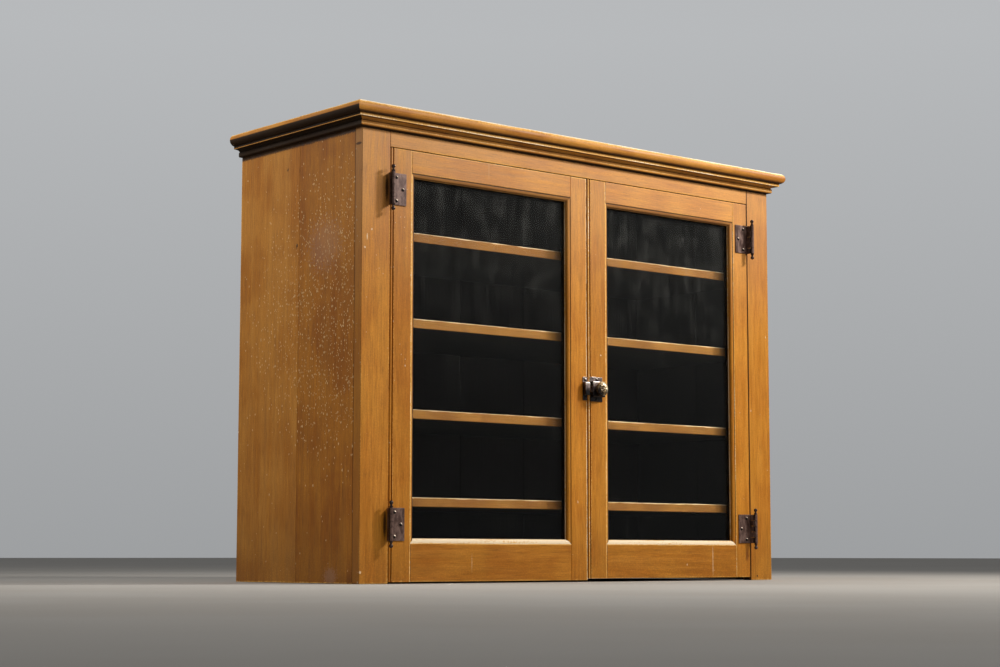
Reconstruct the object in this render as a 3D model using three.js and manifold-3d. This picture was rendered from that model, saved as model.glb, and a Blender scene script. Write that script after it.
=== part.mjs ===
// A two door glazed jelly cupboard in millimetres, +Z up, its front towards -Y.
// The pieces are laid out from the front left bottom corner of the case: X to the right,
// Y to the back and Z up. One group then brings the origin under the middle of the whole.
import * as THREE from 'three';
import { mergeVertices } from 'three/addons/utils/BufferGeometryUtils.js';
import Module from 'manifold-3d';

const wasm = await Module();
wasm.setup();

// Case
const caseWidth = 1180;
const caseDepth = 436;
const caseHeight = 926;
const sideThickness = 20;
const sideSeamFromFront = 217;
const sideSeamGap = 0.5;
const topThickness = 25;
const bottomThickness = 19;
const bottomHeight = 26;
const shelfThickness = 19;
const shelfTopShares = [0.185, 0.376, 0.575, 0.765];
const shelfSetback = 6;
const housingDepth = 6;
const housingClearance = 0.3;

// Face frame
const faceStileWidth = 70;
const faceRailHeight = 55;
const faceTenonThickness = 8;
const faceTenonLength = 32;

// Back
const backThickness = 14;
const backRebateWidth = 10;
const backBoardCount = 6;
const backLap = 8;
const backBoardGap = 0.8;
const backLapClearance = 0.3;
const backFloorGap = 8;

// Cornice
const nosingProjection = 32;
const bedHeight = 22;
const bedProjection = 21.3;
const bedFilletHeight = 6.2;
const bedFilletStep = 1.8;
const bedBeadProjection = 9;
const bedBeadHeight = 10.5;
const bedBeadEase = 1.8;
const bedUndercut = 3.5;
const mitreGap = 0.3;

// Doors
const doorThickness = 23.5;
const doorBackClearance = 0.5;
const hingeGap = 1.5;
const doorTopGap = 1.5;
const meetingGap = 3.2;
const meetingOffset = 14;
const leftDoorFloorGap = 3;
const rightDoorFloorGap = 6.5;
const doorStileWidth = 46;
const doorTopRailWidth = 46;
const doorBottomRailTop = 79.5;
const edgeBeadRadius = 3.2;
const quirkWidth = 1.6;
const quirkDepth = 4.6;
const stickingWidth = 9.5;
const stickingDepth = 13;
const stickingQuirk = 1;
const ovoloDepth = 6.2;
const stickingFillet = 1.3;
const rebateWidth = 7;
const glassThickness = 2.5;
const glassEdgeClearance = 1;
const glassBed = 0.3;
const beadQuadrant = 4;
const beadClearance = 0.2;
const jointGap = 0.3;
const tenonThickness = 8;
const tenonLength = 32;
const tenonShoulder = 9;
const tenonClearance = 0.3;

// Hinges
const leafHeight = 65;
const leafThickness = 1.8;
const doorLeafWidth = 39.5;
const frameLeafDepth = 20;
const barrelRadius = 4.25;
const pinProud = 14;
const pinOffset = 3;
const pinRadius = 2;
const pinClearance = 0.2;
const knuckleCount = 5;
const knuckleGap = 0.3;
const leafGap = 0.3;
const tipCollarRadius = 4;
const tipCollarLength = 5;
const tipBallRadius = 3.6;
const tipBallLift = 5.4;
const tipNeckRadius = 1.8;
const screwHeadRadius = 3.1;
const screwHeadHeight = 1.9;
const screwNearInset = 14.4;
const screwFarInset = 30.5;
const screwSpread = 24;
const upperHingeFromTop = 83.5;
const lowerHingeFromFloor = 116;

// Latch
const latchHeight = 411.5;
const latchCaseInset = 5.7;
const latchPlateWidth = 35;
const latchPlateHeight = 53;
const latchPlateThickness = 1.8;
const latchBodyHeight = 33;
const latchProud = 11.4;
const latchWall = 1.6;
const latchCorner = 2.6;
const latchEdge = 1.2;
const keeperWidth = 12.8;
const keeperInset = 0.1;
const keeperPlateHeight = 50;
const keeperBodyHeight = 28;
const keeperEngagement = 4;
const boltHeight = 12;
const boltThickness = 5.4;
const boltBackGap = 1.4;
const boltClearance = 0.4;
const boltSetback = 0.3;
const boltTailMargin = 2.4;
const knobTurn = Math.PI / 2;
const camThickness = 2.2;
const camGap = 0.3;
const camMargin = 0.6;
const crankPinRadius = 1.8;
const slotSlackShare = 0.055;
const slotEndClearance = 0.6;
const spindleRadius = 3.6;
const spindleClearance = 0.3;
const knobRadius = 16;
const knobProud = 27;
const knobNeckRadius = 5;
const knobNeckLength = 4.4;
const knobRimShares = [[0.55, 0], [0.9, 0.12], [1, 0.3], [1, 0.45], [0.93, 0.6], [0.8, 0.66]];
const knobDomeShares = [[0.72, 0.6], [0.55, 0.84], [0.3, 0.97]];
const knobGap = 0.4;

// Fineness and overrun
const knobSegments = 32;
const hingeSegments = 20;
const screwSegments = 12;
const curveSegments = 8;
const tipSegments = 4;
const overrun = 1;

// Derived places
const faceThickness = doorThickness + doorBackClearance;
const openingLeft = faceStileWidth;
const openingRight = caseWidth - faceStileWidth;
const openingTop = caseHeight - faceRailHeight;
const backFace = caseDepth - backThickness;
const meetingLine = caseWidth / 2 + meetingOffset;
const doorTop = openingTop - doorTopGap;
const housingLeft = sideThickness - housingDepth + housingClearance;
const housingRight = caseWidth - housingLeft;
const shelfFront = faceThickness + shelfSetback;
const edgeBeadWidth = 2 * edgeBeadRadius + quirkWidth;
const nosingRadius = topThickness / 2;

const finishes = {
  paint: { color: 0xb87a36, roughness: 0.62, metalness: 0 },
  shadedPaint: { color: 0x97672c, roughness: 0.66, metalness: 0 },
  wornPaint: { color: 0xd08f45, roughness: 0.6, metalness: 0 },
  interior: { color: 0x2a1c12, roughness: 0.85, metalness: 0 },
  bareWood: { color: 0x7a5a3a, roughness: 0.9, metalness: 0 },
  glass: { color: 0xdfe8e6, roughness: 0.05, metalness: 0 },
  iron: { color: 0x4a3632, roughness: 0.55, metalness: 0.8 },
  nickel: { color: 0xb9a184, roughness: 0.4, metalness: 0.9 },
};

// Turns a closed three.js geometry into a solid that can be joined and cut.
function solidOf(geometry) {
  const bare = geometry.clone();
  bare.deleteAttribute('normal');
  bare.deleteAttribute('uv');
  const merged = mergeVertices(bare);
  return new wasm.Manifold(new wasm.Mesh({
    numProp: 3,
    vertProperties: new Float32Array(merged.attributes.position.array),
    triVerts: new Uint32Array(merged.index.array),
  }));
}

// The faces of a solid as a three.js geometry.
function geometryOf(solid) {
  const { vertProperties, triVerts, numProp } = solid.getMesh();
  const geometry = new THREE.BufferGeometry();
  geometry.setAttribute('position', new THREE.BufferAttribute(new Float32Array(vertProperties), numProp));
  geometry.setIndex(new THREE.BufferAttribute(new Uint32Array(triVerts), 1));
  geometry.computeVertexNormals();
  return geometry;
}

function join(...solids) {
  return solids.reduce((whole, solid) => whole.add(solid));
}

function cut(solid, ...tools) {
  return tools.reduce((rest, tool) => rest.subtract(tool), solid);
}

// A box between two corners, each given as [x, y, z].
function box(low, high) {
  const size = high.map((value, axis) => value - low[axis]);
  const geometry = new THREE.BoxGeometry(...size);
  geometry.translate(...low.map((value, axis) => value + size[axis] / 2));
  return solidOf(geometry);
}

// Turns every face round, so that a mirrored shape faces outwards again.
function flipped(geometry) {
  const indexed = geometry.index ? geometry : mergeVertices(geometry);
  const corners = indexed.index.array;
  for (let i = 0; i < corners.length; i += 3) {
    [corners[i + 1], corners[i + 2]] = [corners[i + 2], corners[i + 1]];
  }
  return indexed;
}

// Moves a geometry so that its own x, y and z run along three directions from an origin.
function placed(geometry, { origin, x, y, z }) {
  const matrix = new THREE.Matrix4().makeBasis(
    new THREE.Vector3(...x),
    new THREE.Vector3(...y),
    new THREE.Vector3(...z),
  );
  matrix.setPosition(...origin);
  const mirrored = matrix.determinant() < 0;
  geometry.applyMatrix4(matrix);
  return mirrored ? flipped(geometry) : geometry;
}

// A straight run of a section, whose ends slope with the distance from the section's back.
function strip(section, length, startSlope, endSlope, frame) {
  const geometry = new THREE.ExtrudeGeometry(section, { depth: 1, bevelEnabled: false, curveSegments });
  const position = geometry.attributes.position;
  for (let i = 0; i < position.count; i += 1) {
    const out = Math.max(position.getX(i), 0);
    const start = startSlope * out;
    const end = length + endSlope * out;
    position.setZ(i, start + (end - start) * position.getZ(i));
  }
  return solidOf(placed(geometry, frame));
}

// A board that stands upright, its section drawn from its left edge.
function upright(section, left, bottom, top) {
  const frame = { origin: [left, 0, bottom], x: [1, 0, 0], y: [0, 1, 0], z: [0, 0, 1] };
  return strip(section, top - bottom, 0, 0, frame);
}

// A cylinder on a vertical axis.
function post(x, y, radius, bottom, top) {
  const geometry = new THREE.CylinderGeometry(radius, radius, top - bottom, hingeSegments);
  const frame = { origin: [x, y, (bottom + top) / 2], x: [1, 0, 0], y: [0, 0, 1], z: [0, -1, 0] };
  return solidOf(placed(geometry, frame));
}

// A turned shape whose axis points out of the front, its profile as [radius, height] pairs.
function turned(profile, segments, x, y, z) {
  const points = profile.map(([radius, height]) => new THREE.Vector2(radius, height));
  const geometry = new THREE.LatheGeometry(points, segments);
  return solidOf(placed(geometry, { origin: [x, y, z], x: [1, 0, 0], y: [0, -1, 0], z: [0, 0, -1] }));
}

function mirroredInCase(solid) {
  const geometry = geometryOf(solid);
  return solidOf(placed(geometry, { origin: [caseWidth, 0, 0], x: [-1, 0, 0], y: [0, 1, 0], z: [0, 0, 1] }));
}

function outline(points) {
  return new THREE.Shape(points.map(([x, y]) => new THREE.Vector2(x, y)));
}

const shelfTops = shelfTopShares.map((share) => share * caseHeight);
const cupboard = new THREE.Group();
cupboard.position.set(-caseWidth / 2, -(caseDepth - nosingProjection) / 2, 0);

function place(name, solid, finish) {
  const mesh = new THREE.Mesh(geometryOf(solid), new THREE.MeshStandardMaterial(finishes[finish]));
  mesh.name = name;
  cupboard.add(mesh);
}

// Case boards

function housingCuts() {
  const slots = shelfTops.map((top) => [top - shelfThickness, top + housingClearance]);
  slots.push([bottomHeight, bottomHeight + bottomThickness + housingClearance]);
  return slots.map(([low, high]) => box(
    [sideThickness - housingDepth, faceThickness - overrun, low],
    [sideThickness + overrun, caseDepth + overrun, high],
  ));
}

function addSides() {
  const frontBlank = box([0, faceThickness, 0], [sideThickness, sideSeamFromFront, caseHeight]);
  const front = cut(frontBlank, ...housingCuts());
  const rebate = box(
    [sideThickness - backRebateWidth, backFace, -overrun],
    [sideThickness + overrun, caseDepth + overrun, caseHeight + overrun],
  );
  const rearBlank = box([0, sideSeamFromFront + sideSeamGap, 0], [sideThickness, caseDepth, caseHeight]);
  const rear = cut(rearBlank, ...housingCuts(), rebate);
  place('side_left_front_board', front, 'shadedPaint');
  place('side_left_rear_board', rear, 'shadedPaint');
  place('side_right_front_board', mirroredInCase(front), 'shadedPaint');
  place('side_right_rear_board', mirroredInCase(rear), 'shadedPaint');
}

function addShelves() {
  const back = backFace - housingClearance;
  shelfTops.forEach((top, index) => {
    const shelf = box([housingLeft, shelfFront, top - shelfThickness], [housingRight, back, top]);
    place(`shelf_${index + 1}`, shelf, 'wornPaint');
  });
  const bottom = box(
    [housingLeft, faceThickness, bottomHeight],
    [housingRight, back, bottomHeight + bottomThickness],
  );
  place('bottom_board', bottom, 'interior');
  place('top_board', box([0, 0, caseHeight], [caseWidth, caseDepth, caseHeight + topThickness]), 'bareWood');
}

// Half lapped boards: each has a tongue over the next one's, except at the two ends.
function backBoardSection(width, isFirst, isLast) {
  const middle = backFace + backThickness / 2;
  const halfGap = backLapClearance / 2;
  const startIn = isFirst ? 0 : (backLap + backBoardGap) / 2;
  const startOut = isFirst ? 0 : (backBoardGap - backLap) / 2;
  const endIn = isLast ? width : width + (backLap - backBoardGap) / 2;
  const endOut = isLast ? width : width - (backLap + backBoardGap) / 2;
  return outline([
    [startIn, backFace], [endIn, backFace], [endIn, middle - halfGap], [endOut, middle - halfGap],
    [endOut, caseDepth], [startOut, caseDepth], [startOut, middle + halfGap], [startIn, middle + halfGap],
  ]);
}

function addBack() {
  const left = sideThickness - backRebateWidth + housingClearance;
  const pitch = (caseWidth - 2 * left) / backBoardCount;
  for (let i = 0; i < backBoardCount; i += 1) {
    const section = backBoardSection(pitch, i === 0, i === backBoardCount - 1);
    place(`back_board_${i + 1}`, upright(section, left + i * pitch, backFloorGap, caseHeight), 'bareWood');
  }
}

// Face frame

function hingeHeights() {
  return { upper: doorTop - upperHingeFromTop, lower: lowerHingeFromFloor };
}

function faceTenon(grow) {
  const middle = faceThickness / 2;
  const low = openingTop + tenonShoulder - grow;
  const high = caseHeight - tenonShoulder + grow;
  return box(
    [openingLeft - faceTenonLength - grow, middle - faceTenonThickness / 2 - grow, low],
    [openingLeft + overrun, middle + faceTenonThickness / 2 + grow, high],
  );
}

function addFaceFrame() {
  const gains = Object.values(hingeHeights()).map((height) => box(
    [openingLeft - leafThickness - leafGap, -overrun, height - leafHeight / 2 - leafGap],
    [openingLeft + overrun, frameLeafDepth + leafGap, height + leafHeight / 2 + leafGap],
  ));
  const blank = box([0, 0, 0], [faceStileWidth, faceThickness, caseHeight]);
  const stile = cut(blank, faceTenon(tenonClearance), ...gains);
  const rail = box(
    [openingLeft + jointGap, 0, openingTop],
    [openingRight - jointGap, faceThickness, caseHeight],
  );
  place('face_stile_left', stile, 'paint');
  place('face_stile_right', mirroredInCase(stile), 'paint');
  place('face_top_rail', join(rail, faceTenon(0), mirroredInCase(faceTenon(0))), 'paint');
}

// Cornice

function nosingSection() {
  const shape = new THREE.Shape();
  shape.moveTo(0, 0);
  shape.lineTo(nosingProjection - nosingRadius, 0);
  shape.absarc(nosingProjection - nosingRadius, nosingRadius, nosingRadius, -Math.PI / 2, Math.PI / 2, false);
  shape.lineTo(0, topThickness);
  return shape;
}

// A bead with eased edges, then a cove that hollows back over it, then a square fillet.
function bedSection() {
  const filletBottom = bedHeight - bedFilletHeight;
  const coveFoot = bedBeadProjection - bedBeadEase;
  const shape = new THREE.Shape();
  shape.moveTo(0, 0);
  shape.lineTo(bedBeadProjection - bedUndercut, 0);
  shape.quadraticCurveTo(bedBeadProjection, 0, bedBeadProjection, bedUndercut);
  shape.lineTo(bedBeadProjection, bedBeadHeight - bedBeadEase);
  shape.quadraticCurveTo(bedBeadProjection, bedBeadHeight, coveFoot, bedBeadHeight);
  shape.quadraticCurveTo(coveFoot, filletBottom, bedProjection - bedFilletStep, filletBottom);
  shape.lineTo(bedProjection, filletBottom);
  shape.lineTo(bedProjection, bedHeight);
  shape.lineTo(0, bedHeight);
  return shape;
}

function addCornice() {
  const ease = mitreGap / 2;
  const runs = [
    ['nosing', nosingSection(), caseHeight],
    ['bed_mould', bedSection(), caseHeight - bedHeight],
  ];
  runs.forEach(([name, section, height]) => {
    const front = strip(section, caseWidth - 2 * ease, -1, 1, {
      origin: [ease, 0, height], x: [0, -1, 0], y: [0, 0, 1], z: [1, 0, 0],
    });
    const left = strip(section, caseDepth - ease, -1, 0, {
      origin: [0, ease, height], x: [-1, 0, 0], y: [0, 0, 1], z: [0, 1, 0],
    });
    place(`${name}_front`, front, 'paint');
    place(`${name}_left`, left, 'shadedPaint');
    place(`${name}_right`, mirroredInCase(left), 'shadedPaint');
  });
}

// Doors

// Each door's left stile carries a quirk bead on its front edge.
function beadedSection(width) {
  const shape = new THREE.Shape();
  const beadEnd = 2 * edgeBeadRadius;
  shape.moveTo(0, doorThickness);
  shape.lineTo(0, edgeBeadRadius);
  shape.absarc(edgeBeadRadius, edgeBeadRadius, edgeBeadRadius, Math.PI, 2 * Math.PI, false);
  shape.lineTo(beadEnd, quirkDepth);
  shape.lineTo(edgeBeadWidth, quirkDepth);
  shape.lineTo(edgeBeadWidth, 0);
  shape.lineTo(width, 0);
  shape.lineTo(width, doorThickness);
  return shape;
}

// The moulded inner edge of a door frame: x from the face's arris to the glass, y into the door.
function stickingSection() {
  const wall = stickingWidth - rebateWidth;
  const ovoloEnd = stickingWidth - stickingFillet;
  const shape = new THREE.Shape();
  shape.moveTo(-overrun, 0);
  shape.lineTo(0, 0);
  shape.lineTo(0, stickingQuirk);
  shape.quadraticCurveTo(ovoloEnd, stickingQuirk, ovoloEnd, ovoloDepth);
  shape.lineTo(stickingWidth, ovoloDepth);
  shape.lineTo(stickingWidth, stickingDepth);
  shape.lineTo(wall, stickingDepth);
  shape.lineTo(wall, doorThickness);
  shape.lineTo(-overrun, doorThickness);
  return shape;
}

function glazingBeadSection() {
  const depth = doorThickness - stickingDepth - glassThickness - 2 * glassBed;
  const width = rebateWidth - beadClearance;
  const shape = new THREE.Shape();
  shape.moveTo(0, 0);
  shape.lineTo(width, 0);
  shape.lineTo(width, depth - beadQuadrant);
  shape.absarc(width - beadQuadrant, depth - beadQuadrant, beadQuadrant, 0, Math.PI / 2, false);
  shape.lineTo(0, depth);
  return shape;
}

// The four sides of a rectangle in the door's plane, each with its own frame for a mitred strip.
function ringFrames(left, right, bottom, top, front, ease) {
  const across = right - left - 2 * ease;
  const up = top - bottom - 2 * ease;
  const y = [0, 1, 0];
  const z = [0, 0, 1];
  const x = [1, 0, 0];
  return {
    left: { length: up, frame: { origin: [left, front, bottom + ease], x, y, z } },
    right: { length: up, frame: { origin: [right, front, bottom + ease], x: [-1, 0, 0], y, z } },
    bottom: { length: across, frame: { origin: [left + ease, front, bottom], x: z, y, z: x } },
    top: { length: across, frame: { origin: [left + ease, front, top], x: [0, 0, -1], y, z: x } },
  };
}

function ringStrip(section, { length, frame }) {
  return strip(section, length, 1, -1, frame);
}

// A tenon at one end of a rail, or with some growth the mortise that takes it.
function tenon(edge, direction, low, high, grow) {
  const middle = doorThickness / 2;
  const reach = edge + direction * (tenonLength + grow);
  const root = edge - direction * overrun;
  return box(
    [Math.min(reach, root), middle - tenonThickness / 2 - grow, low - grow],
    [Math.max(reach, root), middle + tenonThickness / 2 + grow, high + grow],
  );
}

function doorLayout(left, right, bottom) {
  return {
    left,
    right,
    bottom,
    top: doorTop,
    arrisLeft: left + edgeBeadWidth + doorStileWidth,
    arrisRight: right - doorStileWidth,
    arrisBottom: doorBottomRailTop,
    arrisTop: doorTop - doorTopRailWidth,
  };
}

function addDoor(name, door, leftRole, rightRole) {
  const tenons = [
    [door.bottom + tenonShoulder, door.arrisBottom - tenonShoulder],
    [door.arrisTop + tenonShoulder, door.top - tenonShoulder],
  ];
  const ring = ringFrames(door.arrisLeft, door.arrisRight, door.arrisBottom, door.arrisTop, 0, jointGap / 2);
  const sticking = stickingSection();
  const leftMortises = tenons.map(([low, high]) => tenon(door.arrisLeft, -1, low, high, tenonClearance));
  const rightMortises = tenons.map(([low, high]) => tenon(door.arrisRight, 1, low, high, tenonClearance));

  const leftSection = beadedSection(door.arrisLeft - door.left);
  const leftBoard = upright(leftSection, door.left, door.bottom, door.top);
  const rightBoard = box([door.arrisRight, 0, door.bottom], [door.right, doorThickness, door.top]);
  const leftStile = cut(join(leftBoard, ringStrip(sticking, ring.left)), ...leftMortises);
  const rightStile = cut(join(rightBoard, ringStrip(sticking, ring.right)), ...rightMortises);
  place(`${name}_${leftRole}_stile`, leftStile, 'paint');
  place(`${name}_${rightRole}_stile`, rightStile, 'paint');

  const shoulders = [door.arrisLeft + jointGap, door.arrisRight - jointGap];
  const rails = [
    ['bottom', door.bottom, door.arrisBottom, ring.bottom, tenons[0]],
    ['top', door.arrisTop, door.top, ring.top, tenons[1]],
  ];
  rails.forEach(([role, low, high, run, [tenonLow, tenonHigh]]) => {
    const board = box([shoulders[0], 0, low], [shoulders[1], doorThickness, high]);
    const tongues = [
      tenon(door.arrisLeft, -1, tenonLow, tenonHigh, 0),
      tenon(door.arrisRight, 1, tenonLow, tenonHigh, 0),
    ];
    place(`${name}_${role}_rail`, join(board, ringStrip(sticking, run), ...tongues), 'paint');
  });
  addGlazing(name, door);
}

function addGlazing(name, door) {
  const wall = stickingWidth - rebateWidth;
  const edge = wall + glassEdgeClearance;
  const front = stickingDepth + glassBed;
  const glass = box(
    [door.arrisLeft + edge, front, door.arrisBottom + edge],
    [door.arrisRight - edge, front + glassThickness, door.arrisTop - edge],
  );
  place(`${name}_glass`, glass, 'glass');
  const seat = wall + beadClearance;
  const beads = ringFrames(
    door.arrisLeft + seat,
    door.arrisRight - seat,
    door.arrisBottom + seat,
    door.arrisTop - seat,
    front + glassThickness + glassBed,
    mitreGap / 2,
  );
  Object.entries(beads).forEach(([role, run]) => {
    place(`${name}_glazing_bead_${role}`, ringStrip(glazingBeadSection(), run), 'interior');
  });
}

// Hinges, laid out for the left door and mirrored for the right one

const pinX = openingLeft - pinOffset;
const pinY = -pinProud;
const doorLeafFace = openingLeft + leafGap;

function knuckleSpans(middle) {
  const pitch = leafHeight / knuckleCount;
  return Array.from({ length: knuckleCount }, (_, i) => {
    const low = middle - leafHeight / 2 + i * pitch;
    return [low + (i ? knuckleGap / 2 : 0), low + pitch - (i < knuckleCount - 1 ? knuckleGap / 2 : 0)];
  });
}

// Clears the room that the other leaf's knuckles need, from the front as far as their backs.
function knuckleRoom([low, high]) {
  const reach = barrelRadius + 2 * leafGap;
  return box(
    [pinX - reach, pinY - reach, low - knuckleGap],
    [pinX + reach + leafThickness, pinY + reach, high + knuckleGap],
  );
}

function leafWithKnuckles(plate, middle, own) {
  const spans = knuckleSpans(middle);
  const mine = spans.filter((_, i) => i % 2 === own);
  const others = spans.filter((_, i) => i % 2 !== own);
  const cleared = cut(plate, ...others.map(knuckleRoom));
  const knuckles = mine.map(([low, high]) => post(pinX, pinY, barrelRadius, low, high));
  const bore = post(pinX, pinY, pinRadius + pinClearance, middle - leafHeight, middle + leafHeight);
  return cut(join(cleared, ...knuckles), bore);
}

function screwHead(x, y, z) {
  const profile = new THREE.Path();
  profile.moveTo(0, -overrun);
  profile.lineTo(screwHeadRadius, -overrun);
  profile.lineTo(screwHeadRadius, 0);
  profile.quadraticCurveTo(screwHeadRadius * Math.SQRT1_2, screwHeadHeight, 0, screwHeadHeight);
  const points = profile.getPoints(tipSegments).map(({ x: radius, y: height }) => [radius, height]);
  return turned(points, screwSegments, x, y, z);
}

function doorLeaf(middle) {
  const low = middle - leafHeight / 2;
  const high = middle + leafHeight / 2;
  const plate = box([doorLeafFace, -leafThickness, low], [openingLeft + doorLeafWidth, 0, high]);
  const flange = box([doorLeafFace, pinY, low], [doorLeafFace + leafThickness, 0, high]);
  const heads = [
    [screwNearInset, screwSpread],
    [screwFarInset, 0],
    [screwNearInset, -screwSpread],
  ].map(([inset, rise]) => screwHead(openingLeft + inset, -leafThickness, middle + rise));
  return join(leafWithKnuckles(join(plate, flange), middle, 1), ...heads);
}

function frameLeaf(middle) {
  const plate = box(
    [openingLeft - leafThickness, pinY, middle - leafHeight / 2],
    [openingLeft, frameLeafDepth, middle + leafHeight / 2],
  );
  return leafWithKnuckles(plate, middle, 0);
}

// The loose pin with its two ball tips, as a profile from the lower ball to the upper one.
function hingePin(middle) {
  const half = leafHeight / 2 + knuckleGap;
  const ballHeight = half + tipCollarLength + tipBallLift;
  const quarter = Math.PI / 2;
  const neckAngle = quarter - Math.asin(tipNeckRadius / tipBallRadius);
  const profile = new THREE.Path();
  profile.moveTo(0, -ballHeight - tipBallRadius);
  profile.absarc(0, -ballHeight, tipBallRadius, -quarter, neckAngle, false);
  profile.lineTo(tipNeckRadius, -half - tipCollarLength);
  profile.lineTo(tipCollarRadius, -half - tipCollarLength);
  profile.lineTo(tipCollarRadius, -half);
  profile.lineTo(pinRadius, -half);
  profile.lineTo(pinRadius, half);
  profile.lineTo(tipCollarRadius, half);
  profile.lineTo(tipCollarRadius, half + tipCollarLength);
  profile.lineTo(tipNeckRadius, half + tipCollarLength);
  profile.absarc(0, ballHeight, tipBallRadius, -neckAngle, quarter, false);
  const geometry = new THREE.LatheGeometry(profile.getPoints(tipSegments), hingeSegments);
  const frame = { origin: [pinX, pinY, middle], x: [1, 0, 0], y: [0, 0, 1], z: [0, -1, 0] };
  return solidOf(placed(geometry, frame));
}

function addHinges() {
  Object.entries(hingeHeights()).forEach(([level, middle]) => {
    const pieces = { door_leaf: doorLeaf(middle), frame_leaf: frameLeaf(middle), pin: hingePin(middle) };
    Object.entries(pieces).forEach(([role, solid]) => {
      place(`hinge_left_${level}_${role}`, solid, 'iron');
      place(`hinge_right_${level}_${role}`, mirroredInCase(solid), 'iron');
    });
  });
}

// Latch

const rightDoorLeft = meetingLine + meetingGap / 2;
const leftDoorRight = meetingLine - meetingGap / 2;
const latchLeft = rightDoorLeft + latchCaseInset;
const spindleX = latchLeft + latchPlateWidth / 2;
const boltThrow = latchCaseInset + meetingGap + keeperInset + keeperEngagement + boltSetback;
const crankRadius = boltThrow / (2 * Math.sin(knobTurn / 2));
const crankPinX = spindleX + crankRadius * Math.sin(knobTurn / 2);
const crankPinRise = crankRadius * Math.cos(knobTurn / 2);
const boltBack = -boltBackGap;
const boltFront = boltBack - boltThickness;
const crankBack = boltFront - camGap;

function roundedRect(width, height, radius) {
  const shape = new THREE.Shape();
  const x = width / 2 - radius;
  const y = height / 2 - radius;
  shape.absarc(x, y, radius, 0, Math.PI / 2, false);
  shape.absarc(-x, y, radius, Math.PI / 2, Math.PI, false);
  shape.absarc(-x, -y, radius, Math.PI, 1.5 * Math.PI, false);
  shape.absarc(x, -y, radius, 1.5 * Math.PI, 2 * Math.PI, false);
  return shape;
}

// A raised block on a door's face, with rounded corners and an eased front edge.
function raisedBlock(x, width, height) {
  const shape = roundedRect(width - 2 * latchEdge, height - 2 * latchEdge, latchCorner - latchEdge);
  const geometry = new THREE.ExtrudeGeometry(shape, {
    depth: latchProud,
    bevelEnabled: true,
    bevelThickness: latchEdge,
    bevelSize: latchEdge,
    bevelSegments: tipSegments,
    curveSegments: tipSegments,
  });
  const frame = { origin: [x, latchEdge, latchHeight], x: [1, 0, 0], y: [0, 0, 1], z: [0, -1, 0] };
  const behindFace = box([x - width, 0, latchHeight - height], [x + width, latchProud, latchHeight + height]);
  return cut(solidOf(placed(geometry, frame)), behindFace);
}

function latchPlate(x, width, height) {
  const geometry = new THREE.ExtrudeGeometry(roundedRect(width, height, latchCorner), {
    depth: latchPlateThickness, bevelEnabled: false, curveSegments: tipSegments,
  });
  const frame = { origin: [x, 0, latchHeight], x: [1, 0, 0], y: [0, 0, 1], z: [0, -1, 0] };
  return solidOf(placed(geometry, frame));
}

function lugScrews(x, plateHeight, bodyHeight) {
  const rise = (plateHeight + bodyHeight) / 4;
  return [rise, -rise].map((offset) => screwHead(x, -latchPlateThickness, latchHeight + offset));
}

function addLatchCase() {
  const halfHeight = latchBodyHeight / 2 - latchWall;
  const block = raisedBlock(spindleX, latchPlateWidth, latchBodyHeight);
  const hollow = box(
    [latchLeft + latchWall, -latchProud + latchWall, latchHeight - halfHeight],
    [latchLeft + latchPlateWidth - latchWall, overrun, latchHeight + halfHeight],
  );
  const mouth = box(
    [latchLeft - overrun, boltFront - boltClearance, latchHeight - boltHeight / 2 - boltClearance],
    [latchLeft + latchWall + overrun, overrun, latchHeight + boltHeight / 2 + boltClearance],
  );
  const bore = turned(
    [[0, 0], [spindleRadius + spindleClearance, 0], [spindleRadius + spindleClearance, latchProud + overrun],
      [0, latchProud + overrun]],
    knobSegments,
    spindleX,
    0,
    latchHeight,
  );
  const plate = latchPlate(spindleX, latchPlateWidth, latchPlateHeight);
  const screws = lugScrews(spindleX, latchPlateHeight, latchBodyHeight);
  place('latch_case', cut(join(block, plate, ...screws), hollow, mouth, bore), 'nickel');
}

function addLatchKeeper() {
  const right = leftDoorRight - keeperInset;
  const middle = right - keeperWidth / 2;
  const halfHeight = boltHeight / 2 + boltClearance;
  const block = raisedBlock(middle, keeperWidth, keeperBodyHeight);
  const socket = box(
    [right - keeperWidth + latchWall, -latchProud + latchWall, latchHeight - halfHeight],
    [right + overrun, overrun, latchHeight + halfHeight],
  );
  const plate = latchPlate(middle, keeperWidth, keeperPlateHeight);
  const screws = lugScrews(middle, keeperPlateHeight, keeperBodyHeight);
  place('latch_keeper', cut(join(block, plate, ...screws), socket), 'nickel');
}

function addLatchBolt() {
  const slotHalf = crankPinRadius + slotSlackShare * crankRadius;
  const slotEnd = crankPinRadius + slotEndClearance;
  const tailTop = crankRadius + slotEnd + boltTailMargin;
  const tailLeft = crankPinX - slotHalf - boltTailMargin;
  const tailRight = crankPinX + slotHalf + boltTailMargin;
  const bar = box(
    [latchLeft + boltSetback, boltFront, latchHeight - boltHeight / 2],
    [tailRight, boltBack, latchHeight + boltHeight / 2],
  );
  const tail = box([tailLeft, boltFront, latchHeight], [tailRight, boltBack, latchHeight + tailTop]);
  const slot = box(
    [crankPinX - slotHalf, boltFront - overrun, latchHeight + crankPinRise - slotEnd],
    [crankPinX + slotHalf, boltBack + overrun, latchHeight + crankRadius + slotEnd],
  );
  place('latch_bolt', cut(join(bar, tail), slot), 'nickel');
}

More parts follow.
